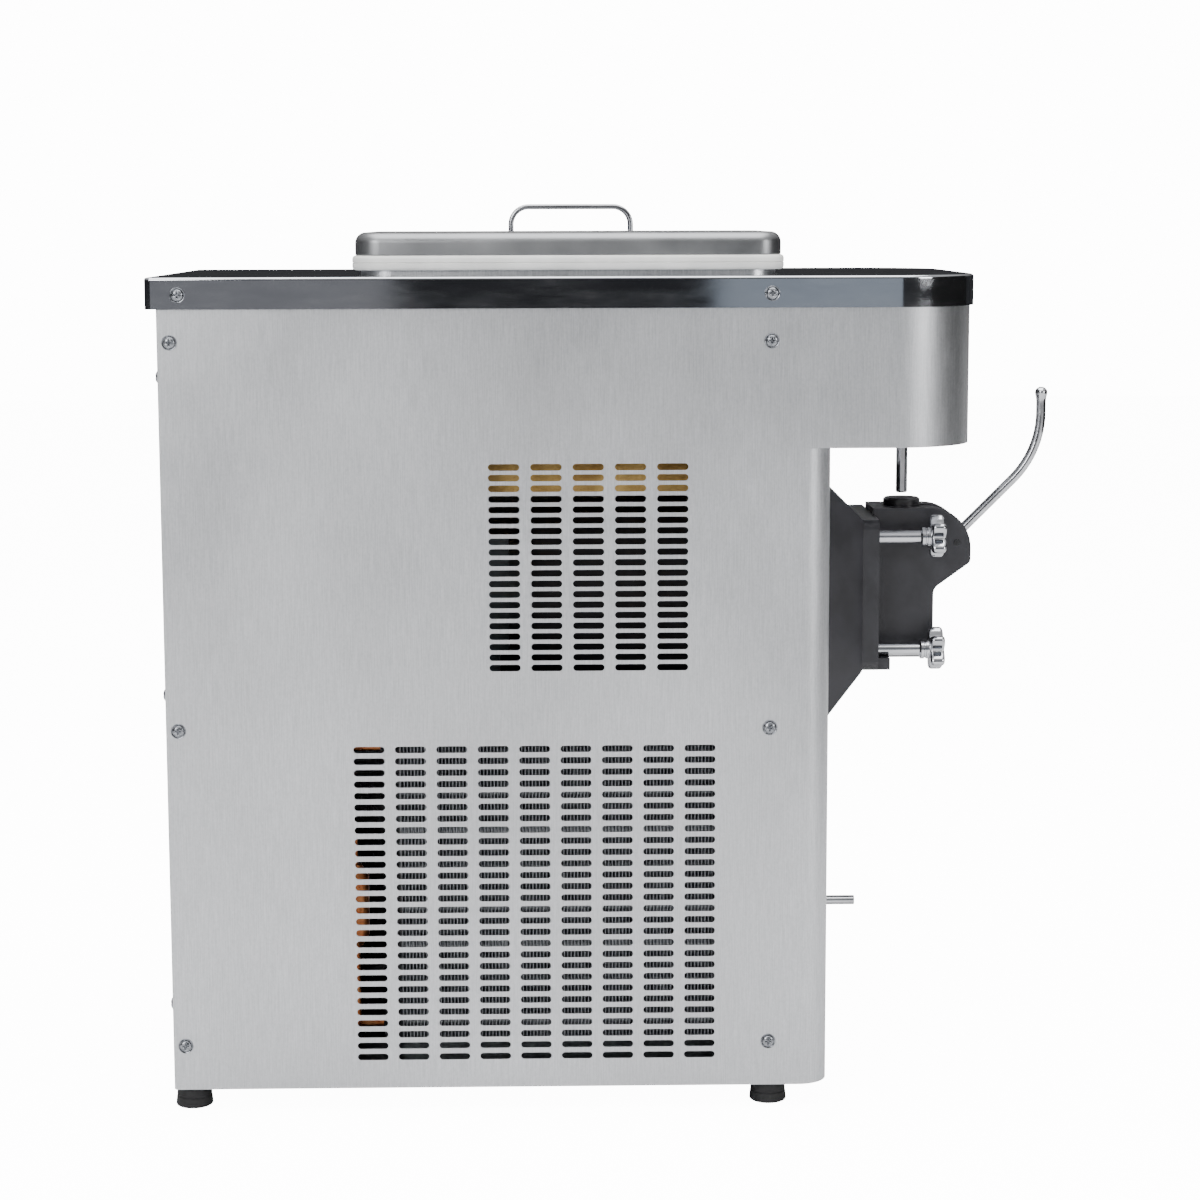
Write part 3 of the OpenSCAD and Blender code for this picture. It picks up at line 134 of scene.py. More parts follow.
def loft(loops, closed=False, caps=True):
    """Skin over a stack of loops: point (i, j) is loop i's jth point. Loops close on themselves; the
    stack closes too if asked, or else gets a flat face over its first and last loop."""
    rows, count = loops.shape[:2]
    i, j = np.meshgrid(np.arange(rows if closed else rows - 1), np.arange(count), indexing="ij")
    i, j = i.ravel(), j.ravel()
    up, right = (i + 1) % rows, (j + 1) % count
    quads = np.stack([i * count + j, i * count + right, up * count + right, up * count + j], axis=1)
    faces = [tuple(q) for q in quads]
    if not closed and caps:
        faces.append(tuple(range(count - 1, -1, -1)))
        faces.append(tuple(range((rows - 1) * count, rows * count)))
    return loops.reshape(-1, 3).astype(float), faces


def corner_loop(x0, x1, y0, y1, radii, steps=8):
    """Outline of a rectangle with round corners, as equal steps of angle round each corner in turn:
    centre + radius * (cos a, sin a). radii go from the corner (x1, y1) anticlockwise."""
    a = np.linspace(0, math.pi / 2, steps + 1)
    centres = [(x1 - radii[0], y1 - radii[0]), (x0 + radii[1], y1 - radii[1]),
               (x0 + radii[2], y0 + radii[2]), (x1 - radii[3], y0 + radii[3])]
    arcs = [np.stack([c[0] + r * np.cos(a + k * math.pi / 2), c[1] + r * np.sin(a + k * math.pi / 2)], 1)
            for k, (c, r) in enumerate(zip(centres, radii))]
    return np.concatenate(arcs)


def inset_loop(box, radii, inset, z, steps=8):
    """corner_loop drawn inset from its box, at height z."""
    x0, x1, y0, y1 = box
    flat = corner_loop(x0 + inset, x1 - inset, y0 + inset, y1 - inset,
                       [max(r - inset, 0.05) for r in radii], steps)
    return np.column_stack([flat, np.full(len(flat), z)])


def bend(x, y, r, a0, a1, n=5):
    """Points of a quarter bend in a profile: (x + r cos a, y + r sin a) for n steps of a, in degrees."""
    a = np.radians(np.linspace(a0, a1, n + 1))
    return np.stack([x + r * np.cos(a), y + r * np.sin(a)], 1)


def lathe(profile, sides=48, closed=False):
    """Surface of revolution about +Z: each profile point (r, z) becomes the ring r (cos a, sin a), z."""
    profile = np.asarray(profile, float)
    a = np.arange(sides) * 2 * math.pi / sides
    r, z = profile[:, :1], profile[:, 1:]
    loops = np.stack([r * np.cos(a), r * np.sin(a), z + 0 * a], axis=2)
    return loft(loops, closed)


def sweep(path, section, side=(1, 0, 0), scale=None):
    """A flat section (u, v) carried along a path that lies square to side: point = path + u * side +
    v * (side x tangent), times a scale for each step."""
    path, side = np.asarray(path, float), np.asarray(side, float)
    tangent = np.gradient(path, axis=0)
    tangent /= np.linalg.norm(tangent, axis=1)[:, None]
    over = np.cross(side, tangent)
    scale = np.ones(len(path)) if scale is None else np.asarray(scale, float)
    u, v = section[:, 0], section[:, 1]
    loops = (path[:, None, :] + scale[:, None, None] * (u[None, :, None] * side[None, None, :]
             + v[None, :, None] * over[:, None, :]))
    return loft(loops[:, ::-1])


def ring(radius, sides=16):
    """A circle as a section (u, v)."""
    a = np.arange(sides) * 2 * math.pi / sides
    return radius * np.stack([np.cos(a), np.sin(a)], 1)


def placed(shape, rows=((1, 0, 0), (0, 1, 0), (0, 0, 1)), at=(0, 0, 0)):
    """The shape turned so that its x, y and z run along the three rows, then moved to at."""
    return shape[0] @ np.asarray(rows, float) + np.asarray(at, float), shape[1]


def brick(a, b, edge=0.6):
    """A block between two corners with its eight corners and edges taken off by edge: loops inset at
    the bottom and top."""
    a, b = np.minimum(a, b), np.maximum(a, b)
    box = (a[0], b[0], a[1], b[1])
    radii = [edge * 1.2] * 4
    heights = [(edge, a[2]), (0, a[2] + edge), (0, b[2] - edge), (edge, b[2])]
    return loft(np.stack([inset_loop(box, radii, i, z, 2) for i, z in heights]))


def cog(outline, height, edge):
    """A plate from a flat outline about its centre, with round edges: at each step of the edge the
    outline shrinks by 1 - cos a and rises by sin a."""
    a = np.radians(np.linspace(0, 90, 5))
    drop = edge * (1 - np.sin(a))
    inset = edge * (1 - np.cos(a))
    size = np.linalg.norm(outline, axis=1).mean()
    levels = [(i, d) for i, d in zip(inset[::-1], drop[::-1])]
    levels += [(i, height - d) for i, d in zip(inset, drop)]
    loops = [np.column_stack([outline * (1 - i / size), np.full(len(outline), z)]) for i, z in levels]
    return loft(np.stack(loops))


# ---------------------------------------------------------------- pieces


def piece(name, shape, material, body, replaces, sharp=35):
    """Makes the object from a shape, lets it ride on its body and stand for CAD nodes."""
    points, faces = shape
    mesh = bpy.data.meshes.new(name)
    mesh.from_pydata((points * MM).tolist(), [], faces)
    mesh.validate()
    obj = bpy.data.objects.new(name, mesh)
    bpy.context.scene.collection.objects.link(obj)
    outwards(mesh)
    dress(obj, material, sharp)
    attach(obj, body)
    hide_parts(*replaces)
    return obj


def outwards(mesh):
    """Turns every closed shell's faces outwards."""
    bm = bmesh.new()
    bm.from_mesh(mesh)
    bmesh.ops.recalc_face_normals(bm, faces=bm.faces)
    bm.to_mesh(mesh)
    bm.free()


def dress(obj, material, sharp):
    """One material, and smooth shading up to the given edge angle."""
    obj.data.materials.clear()
    obj.data.materials.append(material)
    obj.data.shade_smooth()
    obj.data.set_sharp_from_angle(angle=math.radians(sharp))


def soften(obj, width):
    """Takes the edges of a piece off with a narrow bevel."""
    mod = obj.modifiers.new("Edges", "BEVEL")
    mod.width = width * MM
    mod.segments = 2
    mod.limit_method = "ANGLE"
    mod.angle_limit = math.radians(40)
    mod.harden_normals = True


def recast(node, material, sharp=28, bevel=0.0):
    """A copy of a CAD node with its points merged and smooth shading on its curves; it stands for the
    node. Where a face square to an axis meets a curve, the edge stays sharp, so the face shades flat."""
    source = NODES[node]
    mesh = source.data.copy()
    mesh.name = node + "_skin"
    bm = bmesh.new()
    bm.from_mesh(mesh)
    bmesh.ops.remove_doubles(bm, verts=bm.verts, dist=2e-6)
    if bevel:
        bmesh.ops.dissolve_limit(bm, angle_limit=math.radians(1.5), verts=bm.verts, edges=bm.edges)
    bm.to_mesh(mesh)
    bm.free()
    if mesh.has_custom_normals:
        mesh.attributes.remove(mesh.attributes["custom_normal"])
    obj = bpy.data.objects.new(node + "_skin", mesh)
    bpy.context.scene.collection.objects.link(obj)
    dress(obj, material, sharp)
    bm = bmesh.new()
    bm.from_mesh(mesh)
    bm.normal_update()
    for edge in bm.edges:
        square = [max(abs(c) for c in face.normal) > 0.99999 for face in edge.link_faces]
        if len(square) != 2 or square[0] != square[1]:
            edge.smooth = False
    bm.to_mesh(mesh)
    bm.free()
    if bevel:
        soften(obj, bevel)
    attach(obj, source["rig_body"])
    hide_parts(node)
    return obj


# ---------------------------------------------------------------- finishes


def linear(hex_colour):
    """sRGB hex to linear RGBA."""
    v = np.array([int(hex_colour[k:k + 2], 16) for k in (1, 3, 5)]) / 255
    return (*np.where(v <= 0.04045, v / 12.92, ((v + 0.055) / 1.055) ** 2.4), 1.0)


def add(tree, kind, settings=(), inputs=()):
    """Adds a node, with its settings, and with each input given a value or linked to a socket."""
    node = tree.nodes.new(kind)
    for key, value in dict(settings).items():
        setattr(node, key, value)
    for key, value in dict(inputs).items():
        if isinstance(value, bpy.types.NodeSocket):
            tree.links.new(value, node.inputs[key])
        else:
            node.inputs[key].default_value = value
    return node


def finish(name, slot, tone, rough, metallic=0.0, ior=1.5, patch=20.0, fine=0.6, depth=0.01, cells=False):
    """A finish from two patterns on object coordinates: slow patches that carry the tone and the gloss
    from their first value to their second, and a fine grain or cells that lift the surface by depth.
    patch and fine are the patterns' sizes in mm, as one number or as x, y and z."""
    mat = bpy.data.materials.new(name)
    mat.use_nodes = True
    mat["record_slot"] = slot
    tree = mat.node_tree
    tree.nodes.clear()
    coords = add(tree, "ShaderNodeTexCoord").outputs["Object"]
    slow_at = add(tree, "ShaderNodeMapping", {}, {"Vector": coords, "Scale": 1 / (np.ones(3) * patch * MM)})
    fine_at = add(tree, "ShaderNodeMapping", {}, {"Vector": coords, "Scale": 1 / (np.ones(3) * fine * MM)})
    slow = add(tree, "ShaderNodeTexNoise", {}, {"Vector": slow_at.outputs[0], "Scale": 1.0, "Detail": 3.0})
    grain = add(tree, "ShaderNodeTexVoronoi" if cells else "ShaderNodeTexNoise", {},
                {"Vector": fine_at.outputs[0], "Scale": 1.0})
    # The slow noise seldom leaves 0.32 to 0.68, so that span carries the whole change.
    share = add(tree, "ShaderNodeMapRange", {},
                {"Value": slow.outputs[0], "From Min": 0.32, "From Max": 0.68})
    colour = add(tree, "ShaderNodeMix", {"data_type": "RGBA"},
                 {0: share.outputs[0], 6: linear(tone[0]), 7: linear(tone[1])})
    gloss = add(tree, "ShaderNodeMapRange", {},
                {"Value": share.outputs[0], "To Min": rough[0], "To Max": rough[1]})
    relief = add(tree, "ShaderNodeBump", {},
                 {"Height": grain.outputs[0], "Distance": depth * MM, "Strength": 0.6})
    shader = add(tree, "ShaderNodeBsdfPrincipled", {},
                 {"Base Color": colour.outputs[2], "Roughness": gloss.outputs[0],
                  "Normal": relief.outputs[0], "Metallic": metallic, "IOR": ior})
    add(tree, "ShaderNodeOutputMaterial", {}, {"Surface": shader.outputs[0]})
    return mat


def brushed_sheet(colours):
    """304 stainless sheet with an upright brushed grain. Fine streaks carry the tone and lift the
    surface; broad clouds shade it and make its soft gloss uneven."""
    mat = bpy.data.materials.new("brushed_stainless_sheet")
    mat.use_nodes = True
    mat["record_slot"] = "brushed_steel"
    tree = mat.node_tree
    tree.nodes.clear()
    coords = add(tree, "ShaderNodeTexCoord").outputs["Object"]
    # The real grain is about 0.1 mm wide; it is drawn 0.9 mm wide so that it shows at arm's length.
    # Scales are patterns to the metre: streaks 0.9 by 26 mm, specks 1.6 by 2.4, clouds 190 by 260.
    streak_at = add(tree, "ShaderNodeMapping", {}, {"Vector": coords, "Scale": (1111, 1111, 38)})
    speck_at = add(tree, "ShaderNodeMapping", {}, {"Vector": coords, "Scale": (625, 625, 417)})
    cloud_at = add(tree, "ShaderNodeMapping", {}, {"Vector": coords, "Scale": (5.2, 5.2, 3.8)})
    streak = add(tree, "ShaderNodeTexNoise", {},
                 {"Vector": streak_at.outputs[0], "Scale": 1.0, "Detail": 2.0})
    speck = add(tree, "ShaderNodeTexNoise", {},
                {"Vector": speck_at.outputs[0], "Scale": 1.0, "Detail": 3.0})
    cloud = add(tree, "ShaderNodeTexNoise", {},
                {"Vector": cloud_at.outputs[0], "Scale": 1.0, "Detail": 3.0})
    both = add(tree, "ShaderNodeMix", {}, {0: 0.4, 2: streak.outputs[0], 3: speck.outputs[0]})
    lit = add(tree, "ShaderNodeMapRange", {},
              {"Value": both.outputs[0], "From Min": 0.36, "From Max": 0.66})
    tone = add(tree, "ShaderNodeMix", {"data_type": "RGBA"},
               {0: lit.outputs[0], 6: linear(colours.panel_dark), 7: linear(colours.panel_light)})
    shade = add(tree, "ShaderNodeMapRange", {},
                {"Value": cloud.outputs[0], "From Min": 0.3, "From Max": 0.7, "To Min": 0.85, "To Max": 1.0})
    base = add(tree, "ShaderNodeMix", {"data_type": "RGBA", "blend_type": "MULTIPLY"},
               {0: 1.0, 6: tone.outputs[2], 7: shade.outputs[0]})
    soft = add(tree, "ShaderNodeMapRange", {},
               {"Value": cloud.outputs[0], "From Min": 0.35, "From Max": 0.65, "To Min": 0.31, "To Max": 0.37})
    rough = add(tree, "ShaderNodeMath", {"operation": "MULTIPLY_ADD"},
                {0: streak.outputs[0], 1: 0.1, 2: soft.outputs[0]})
    relief = add(tree, "ShaderNodeBump", {},
                 {"Height": both.outputs[0], "Distance": 0.02 * MM, "Strength": 0.6})
    shader = add(tree, "ShaderNodeBsdfPrincipled", {},
                 {"Base Color": base.outputs[2], "Roughness": rough.outputs[0],
                  "Normal": relief.outputs[0], "Metallic": 1.0})
    add(tree, "ShaderNodeOutputMaterial", {}, {"Surface": shader.outputs[0]})
    return mat


MATS = {}


def make_materials(p):
    """Every finish on the machine, by plain name."""
    MATS["sheet"] = brushed_sheet(p)
    # Mirror-polished stainless cover: clear reflections, faint wipe marks in the gloss.
    MATS["mirror"] = finish("polished_stainless_cover", "polished_steel", ("#b9bbc0", "#c6c8cc"),
                            (0.05, 0.11), 1, patch=(14, 60, 14), fine=(0.4, 9, 0.4), depth=0.0006)
    # Chrome plate on steel: bright and hard-edged, a little softer where hands rub it.
    MATS["chrome"] = finish("chromed_steel", "polished_steel", ("#b4b5b9", "#d4d5d9"), (0.07, 0.14), 1,
                            patch=(12, 40, 12), fine=(0.4, 6, 0.4), depth=0.003)
    # Zinc-plated pressed screw: greyer and softer than chrome. Its tone is also set darker as painted shade,
    # for the dark ring under the head and the dark cross recess.
    MATS["screw"] = finish("zinc_screw_with_painted_shade", "polished_steel", ("#73767b", "#9fa1a6"), (0.18, 0.30), 1,
                           patch=3, fine=0.5)
    # Polished strap, dulled by wiping: greyer than chrome.
    MATS["strap"] = finish("polished_strap", "polished_steel", ("#8f9094", "#b3b4b8"), (0.16, 0.26), 1,
                           patch=(12, 40, 12), fine=(0.4, 6, 0.4), depth=0.003)
    # Bead-blasted stainless lid: an even, satin grey.
    MATS["lid"] = finish("bead_blasted_lid", "satin_lid", ("#858688", "#939496"), (0.32, 0.42), 1, patch=60,
                         fine=0.9, depth=0.015)
    # Hot-dip galvanised sheet: spangles about 9 mm across.
    MATS["zinc"] = finish("galvanised_sheet", "galvanised", ("#85888b", "#a3a6a9"), (0.34, 0.5), 1, patch=9,
                          fine=2)
    # Rolled aluminium fin: pale and dull, with dust in its folds.
    MATS["fin"] = finish("aluminium_fin", "fins", ("#a9adb0", "#c3c6c9"), (0.32, 0.44), 1, patch=14, fine=2)
    # Sand-cast aluminium under grey paint: a pebbled skin.
    MATS["cast"] = finish("painted_casting", "cast_grey", ("#4d5458", "#636a6f"), (0.42, 0.56), 0, patch=18,
                          fine=1.5, depth=0.05)
    # Drawn copper tube: warm, with brown oxide patches.
    MATS["copper"] = finish("copper_tube", "copper", ("#9c5733", "#c98a5c"), (0.26, 0.42), 1, patch=9,
                            fine=1.2)
    # Moulded acetal in charcoal: spark-eroded texture, soft gloss.
    MATS["charcoal"] = finish("charcoal_acetal", "charcoal_plastic", (p.head_dark, p.head_light),
                              (0.34, 0.44), 0, 1.48, patch=24, fine=0.5, depth=0.012)
    # Black ABS mouldings: smoother and glossier than the head.
    MATS["black"] = finish("black_abs", "black_plastic", ("#151518", "#1e1e22"), (0.26, 0.36), 0, 1.54,
                           fine=0.6)
    # Black baked enamel on steel shells: slight orange peel.
    MATS["enamel"] = finish("black_enamel", "black_enamel", ("#17181a", "#202226"), (0.22, 0.32), 0,
                            fine=1.5, depth=0.03)
    # Black nitrile and natural rubber: matt, with a dusty bloom.
    MATS["rubber"] = finish("black_rubber", "black_rubber", ("#0f0f10", "#1c1c1e"), (0.6, 0.76), 0, 1.52,
                            patch=12, fine=0.8, depth=0.04)
    # Red silicone rings: slick from grease.
    MATS["red"] = finish("red_silicone", "red_rubber", ("#8c2a20", "#a33427"), (0.38, 0.5), 0, 1.43,
                         patch=6)
    # White silicone seal: soft, slightly grey where it is wiped.
    MATS["seal"] = finish("white_silicone", "white_seal", ("#dededb", "#eeeeeb"), (0.42, 0.56), 0, 1.43,
                          patch=30, fine=1, depth=0.03)
    # White acetal food parts.
    MATS["white"] = finish("white_acetal", "white_plastic", ("#dcdcd6", "#ebebe6"), (0.3, 0.42), 0, 1.48,
                           fine=0.8)
    # Circuit board: green solder mask over copper tracks.
    MATS["board"] = finish("green_solder_mask", "board", ("#17502b", "#226238"), (0.3, 0.42), 0, patch=4,
                           fine=1.2)
    # Blue thermoset switch body.
    MATS["blue"] = finish("blue_switch_body", "switch_blue", ("#23406b", "#2c4e80"), (0.36, 0.48), 0, 1.6,
                          fine=0.8)
    # Poured tan polyurethane foam: open cells about 2 mm across.
    MATS["foam"] = finish("tan_foam", "foam", ("#a88244", "#d3b06c"), (0.86, 0.94), 0, patch=30, fine=2.2,
                          depth=0.5, cells=True)
    # Closed-cell black foam sleeve. Its black is also painted shade, for the dark round the freezing cylinder
    # deep inside the cabinet.
    MATS["black_foam"] = finish("black_foam", "black_foam", ("#1b1b1d", "#29292c"), (0.8, 0.9), 0, patch=25,
                                fine=1.4, depth=0.2, cells=True)
    # Smoked acrylic over a dark display.
    MATS["display"] = finish("smoked_acrylic", "display", ("#0b1216", "#121c22"), (0.05, 0.12), 0, 1.49,
                             patch=18)


# ---------------------------------------------------------------- settings


class SoftServeSizes(bpy.types.PropertyGroup):
    """Sizes of the new pieces."""
    edge: FloatProperty(name="Edge", description="Radius on moulded edges, in mm",
                        default=1.2, min=0.2, max=3)
    fins: IntProperty(name="Fins", description="Fins in the condenser", default=92, min=20, max=160)
    lens: FloatProperty(name="Lens", description="Focal length of the camera, in mm",
                        default=82.78, min=20, max=200)
    key: FloatProperty(name="Key light", description="Power of the main softbox",
                       default=90.0, unit="POWER")
    sky: FloatProperty(name="Sky", description="Strength of the light from the room",
                       default=0.8, min=0, max=20)
    backdrop: FloatProperty(name="Backdrop", description="Strength of the white backdrop",
                            default=14.0, min=0, max=50)


class SoftServeColours(bpy.types.PropertyGroup):
    """Colours as sRGB hex."""
    panel_light: StringProperty(name="Panel light", description="Bright streak of the sheet",
                                default="#dadbde")
    panel_dark: StringProperty(name="Panel dark", description="Dark streak of the sheet",
                               default="#c5c7ca")
    head_light: StringProperty(name="Head light", description="Rubbed patch on the head", default="#303035")
    head_dark: StringProperty(name="Head dark", description="Body tone of the head", default="#27272b")
    floor: FloatVectorProperty(name="Floor", description="Colour of the floor", subtype="COLOR",
                               size=4, default=(0.9, 0.9, 0.9, 1.0), min=0, max=1)


# ---------------------------------------------------------------- operators


def done(context):
    """What every operator returns once its pieces are made."""
    context.view_layer.update()
    return {"FINISHED"}


class SOFTSERVE_OT_finishes(bpy.types.Operator):
    """Makes the finishes and lays them on the CAD nodes that stay"""
    bl_idname = "softserve.finishes"
    bl_label = "Finishes"

    def execute(self, context):
        make_materials(context.scene.softserve_colours)
        plan = {
            "sheet": ["rear_panel", "hopper", "freezing_cylinder", "beater"],
            "chrome": ["drive_shaft"],
            "zinc": ["base_plate", "frame", "fan_shroud"],
            "cast": ["gearbox", "gearbox_pulley", "motor_pulley", "drive_motor"],
            "copper": ["evaporator_coil", "refrigerant_pipes", "filter_drier"],
            "black": ["control_fascia", "fan_blade", "cord_gland"],
            "enamel": ["compressor", "fan_motor"],
            "rubber": ["shaft_seal", "drive_belt", "head_seal"],
            "red": ["plunger_o_rings"],
            "white": ["feed_tube", "scraper_blades", "button_left", "button_middle", "button_right"],
            "board": ["control_board"],
            "blue": ["microswitch"],
            "foam": ["hopper_insulation"],
            "black_foam": ["cylinder_insulation"],
            "display": ["display_window"],
        }
        for key, names in plan.items():
            for name in names:
                for slot in NODES[name].material_slots:
                    slot.material = MATS[key]
        return done(context)


class SOFTSERVE_OT_cabinet(bpy.types.Operator):
    """Sheet-metal skins with true bends: front panel, visor, cover and their neighbours"""
    bl_idname = "softserve.cabinet"
    bl_label = "Cabinet"

    def execute(self, context):
        for name in ("front_panel", "visor_shell", "side_panel_left", "side_panel_right"):
            recast(name, MATS["sheet"])
        top_cover()
        feet()
        screws()
        return done(context)


def top_cover():
    """Cover as one closed skin: up the skirt, round a 2.2 mm bend, over the top to the hopper's
    opening, and back underneath. Each ring of the skin is an inset round-cornered outline."""
    a, b = low("top_cover"), high("top_cover")
    box, radii = (a[0], b[0], a[1], b[1]), [6, 6, 74, 74]
    t, r = 1.5, 2.2
    hop = (low("hopper") + high("hopper")) / 2
    half_x, half_y = 100.2, 158.2       # of the hopper's opening
    hole = (hop[0] - half_x, hop[0] + half_x, hop[1] - half_y, hop[1] + half_y)
    z0, z1 = a[2], b[2]
    outer = [(0, z0), (0, z1 - r - 0.4)] + [(r - q[0], q[1]) for q in bend(0, z1 - r, r, 0, 90)]
    outer += [(r + 0.4, z1)]
    inner = [(q[0], q[1]) for q in [(r, z1 - t), (t + 0.3, z1 - r), (t, z0)]]
    loops = [inset_loop(box, radii, i, z) for i, z in outer]
    loops += [inset_loop(hole, [22.2] * 4, 0, z) for z in (z1, z1 - t)]
    loops += [inset_loop(box, radii, i, z) for i, z in inner]
    piece("cover_skin", loft(np.stack(loops), closed=True), MATS["mirror"], "cabinet", ["top_cover"], 40)


def feet():
    """Turned rubber feet: a tapered puck with round edges and a ring groove."""
    a, b = low("feet"), high("feet")
    r = 15.5
    groove = [[r - 0.6, 8], [r - 1.3, 8.6], [r - 1.3, 9.6], [r - 0.8, 10.2]]
    stem = [[4, 19], [4, 27]]
    profile = np.vstack([bend(r - 2, 2, 2, -90, 0), groove, bend(r - 4, 17, 2, 0, 90), stem])
    shapes = [placed(lathe(profile), at=(x, y, 0))
              for x in (a[0] + r, b[0] - r) for y in (a[1] + r, b[1] - r)]
    piece("foot_pucks", merged(*shapes), MATS["rubber"], "cabinet", ["feet"])


def screw_shape():
    """Pan head with a cross recess on a cup washer. The head's top is a height field over rings:
    dome minus a soft cross of |x| and |y|."""
    washer = lathe([(5.0, 0.0), (6.2, 0.0), (6.25, 0.4), (5.9, 0.95), (5.2, 0.8), (4.9, 0.4)], 32,
                   closed=True)
    radius = np.linspace(0.25, 4.5, 16)
    angle = np.arange(32) * 2 * math.pi / 32
    rr, aa = np.meshgrid(radius, angle, indexing="ij")
    x, y = rr * np.cos(aa), rr * np.sin(aa)
    arm = np.minimum(np.abs(x), np.abs(y))
    reach = np.maximum(np.abs(x), np.abs(y))
    cross = 1 / (1 + np.exp((arm - 0.55) * 9)) / (1 + np.exp((reach - 2.7) * 5))
    z = 2.75 - 1.1 * (rr / 4.5) ** 3 - 1.3 * cross
    rim = np.stack([4.7 * np.cos(angle), 4.7 * np.sin(angle), 0 * angle + 0.5], 1)
    top = np.stack([x, y, z], axis=2)
    return merged(washer, loft(np.concatenate([top, rim[None]])))


def screws():
    """The same screw at every place: two columns on each side, the skirt's ends, and the rear."""
    base = screw_shape()
    back = high("top_cover")[1]
    front_depth, side_z, rear_z, skirt_z = 502.8, (56.5, 321.8, 638.0), (90.0, 350.0, 610.0), 676
    rear_rows, rear_seat = ((-1, 0, 0), (0, 0, 1), (0, 1, 0)), 8.8
    shapes = []
    for s in (-1, 1):
        rows = ((0, 1, 0), (0, 0, 1), (s, 0, 0)) if s > 0 else ((0, -1, 0), (0, 0, 1), (s, 0, 0))
        for depth in (19.2, front_depth):
            for z in side_z:
                shapes.append(placed(base, rows, (s * SIDE_X, back - depth, z)))
        for depth in (26.8, front_depth):
            shapes.append(placed(base, rows, (s * SKIRT_X, back - depth, skirt_z)))
        for z in rear_z:
            shapes.append(placed(base, rear_rows, (s * REAR_SCREW_X, back - rear_seat, z)))
    piece("cross_screws", merged(*shapes), MATS["screw"], "cabinet", ["panel_screws"], 50)


class SOFTSERVE_OT_lid(bpy.types.Operator):
    """Pressed lid, white seal and strap handle"""
    bl_idname = "softserve.lid"
    bl_label = "Lid"

    def execute(self, context):
        a, b = low("hopper_lid"), high("hopper_lid")
        box, z0, z1 = (a[0], b[0], a[1], b[1]), a[2], b[2]
        edge = [(9.0 - q[0], q[1]) for q in bend(0, z1 - 9, 9, 0, 78, 8)]
        crown = [(22, z1 - 0.35), (40, z1 - 0.1), (70, z1)]
        outer = [(0.8, z0), (0, z0 + 0.8)] + edge + crown
        inner = [(60, z1 - 1.3), (12, z1 - 1.7), (3, z1 - 9), (1.6, z0)]
        loops = np.stack([inset_loop(box, [22] * 4, i, z) for i, z in outer])
        under = np.stack([inset_loop(box, [22] * 4, i, z) for i, z in inner])
        skin = loft(np.concatenate([under[::-1], loops]))
        piece("lid_pressing", skin, MATS["lid"], "lid", ["hopper_lid"], 40)
        seal()
        handle()
        return done(context)


def seal():
    """Soft seal: a frame with a round outer bead and a thin parting groove, over a lip that plugs
    the basin; the rings run round the section and close on themselves."""
    a, b = low("lid_gasket"), high("lid_gasket")
    box, z0, z1 = (a[0], b[0], a[1], b[1]), RIM_Z, b[2]
    m = (z0 + z1) / 2
    half_x, half_y = 97, 155            # of the lip that plugs the basin
    gap_x, gap_y = (b[0] - a[0]) / 2 - half_x, (b[1] - a[1]) / 2 - half_y
    out = [(2.2, z0), (0.6, z0 + 0.9), (0, z0 + 2.6), (0, m - 0.5), (0.7, m), (0, m + 0.5), (0, z1 - 2.6),
           (0.6, z1 - 0.9), (2.2, z1)]
    lip = [(4, z1), (4, z0 - 9.4), (3, z0 - 10), (0.8, z0 - 9.6), (0, z0 - 8), (0, z0)]
    plug = (a[0] + gap_x, b[0] - gap_x, a[1] + gap_y, b[1] - gap_y)
    loops = [inset_loop(box, [24] * 4, i, z) for i, z in out]
    loops += [inset_loop(plug, [19] * 4, i, z) for i, z in lip]
    piece("seal_frame", loft(np.stack(loops), closed=True), MATS["seal"], "lid", ["lid_gasket"], 50)


def handle():
    """Strap bent to an arch: a round-edged flat section carried along two legs and two bends."""
    a, b = low("lid_handle"), high("lid_handle")
    t, z0, z1 = 4.4, a[2], b[2]
    y0, y1, r = a[1] + t / 2, b[1] - t / 2, 15.0
    zt = z1 - t / 2
    path = np.vstack([[[y0, z0]], [[y0, z0 + 2]], bend(y0 + r, zt - r, r, 180, 90, 10),
                      bend(y1 - r, zt - r, r, 90, 0, 10), [[y1, z0 + 2]], [[y1, z0]]])
    half_w, half_t = (b[0] - a[0]) / 2, t / 2
    section = corner_loop(-half_w, half_w, -half_t, half_t, [1.9] * 4, 4)
    mid = (a[0] + b[0]) / 2
    strap = sweep(np.column_stack([np.full(len(path), mid), path]), section)
    piece("handle_strap", strap, MATS["strap"], "lid", ["lid_handle"], 40)


class SOFTSERVE_OT_head(bpy.types.Operator):
    """Dispensing head, bezel, plunger, nozzle and pivot pin"""
    bl_idname = "softserve.head"
    bl_label = "Dispensing head"

    def execute(self, context):
        edge = context.scene.softserve_sizes.edge
        recast("dispensing_head", MATS["charcoal"], 30, edge)
        recast("head_bezel", MATS["charcoal"], 30)
        recast("valve_plunger", MATS["black"], 30)
        recast("nozzle_star", MATS["white"], 30)
        recast("rod_bushing", MATS["white"], 30)
        recast("lever_pin", MATS["enamel"], 30, 0.5)
        for name in ("switch_rod", "drain_tube", "head_studs"):
            recast(name, MATS["chrome"], 30, 0.4)
        return_spring()
        return done(context)


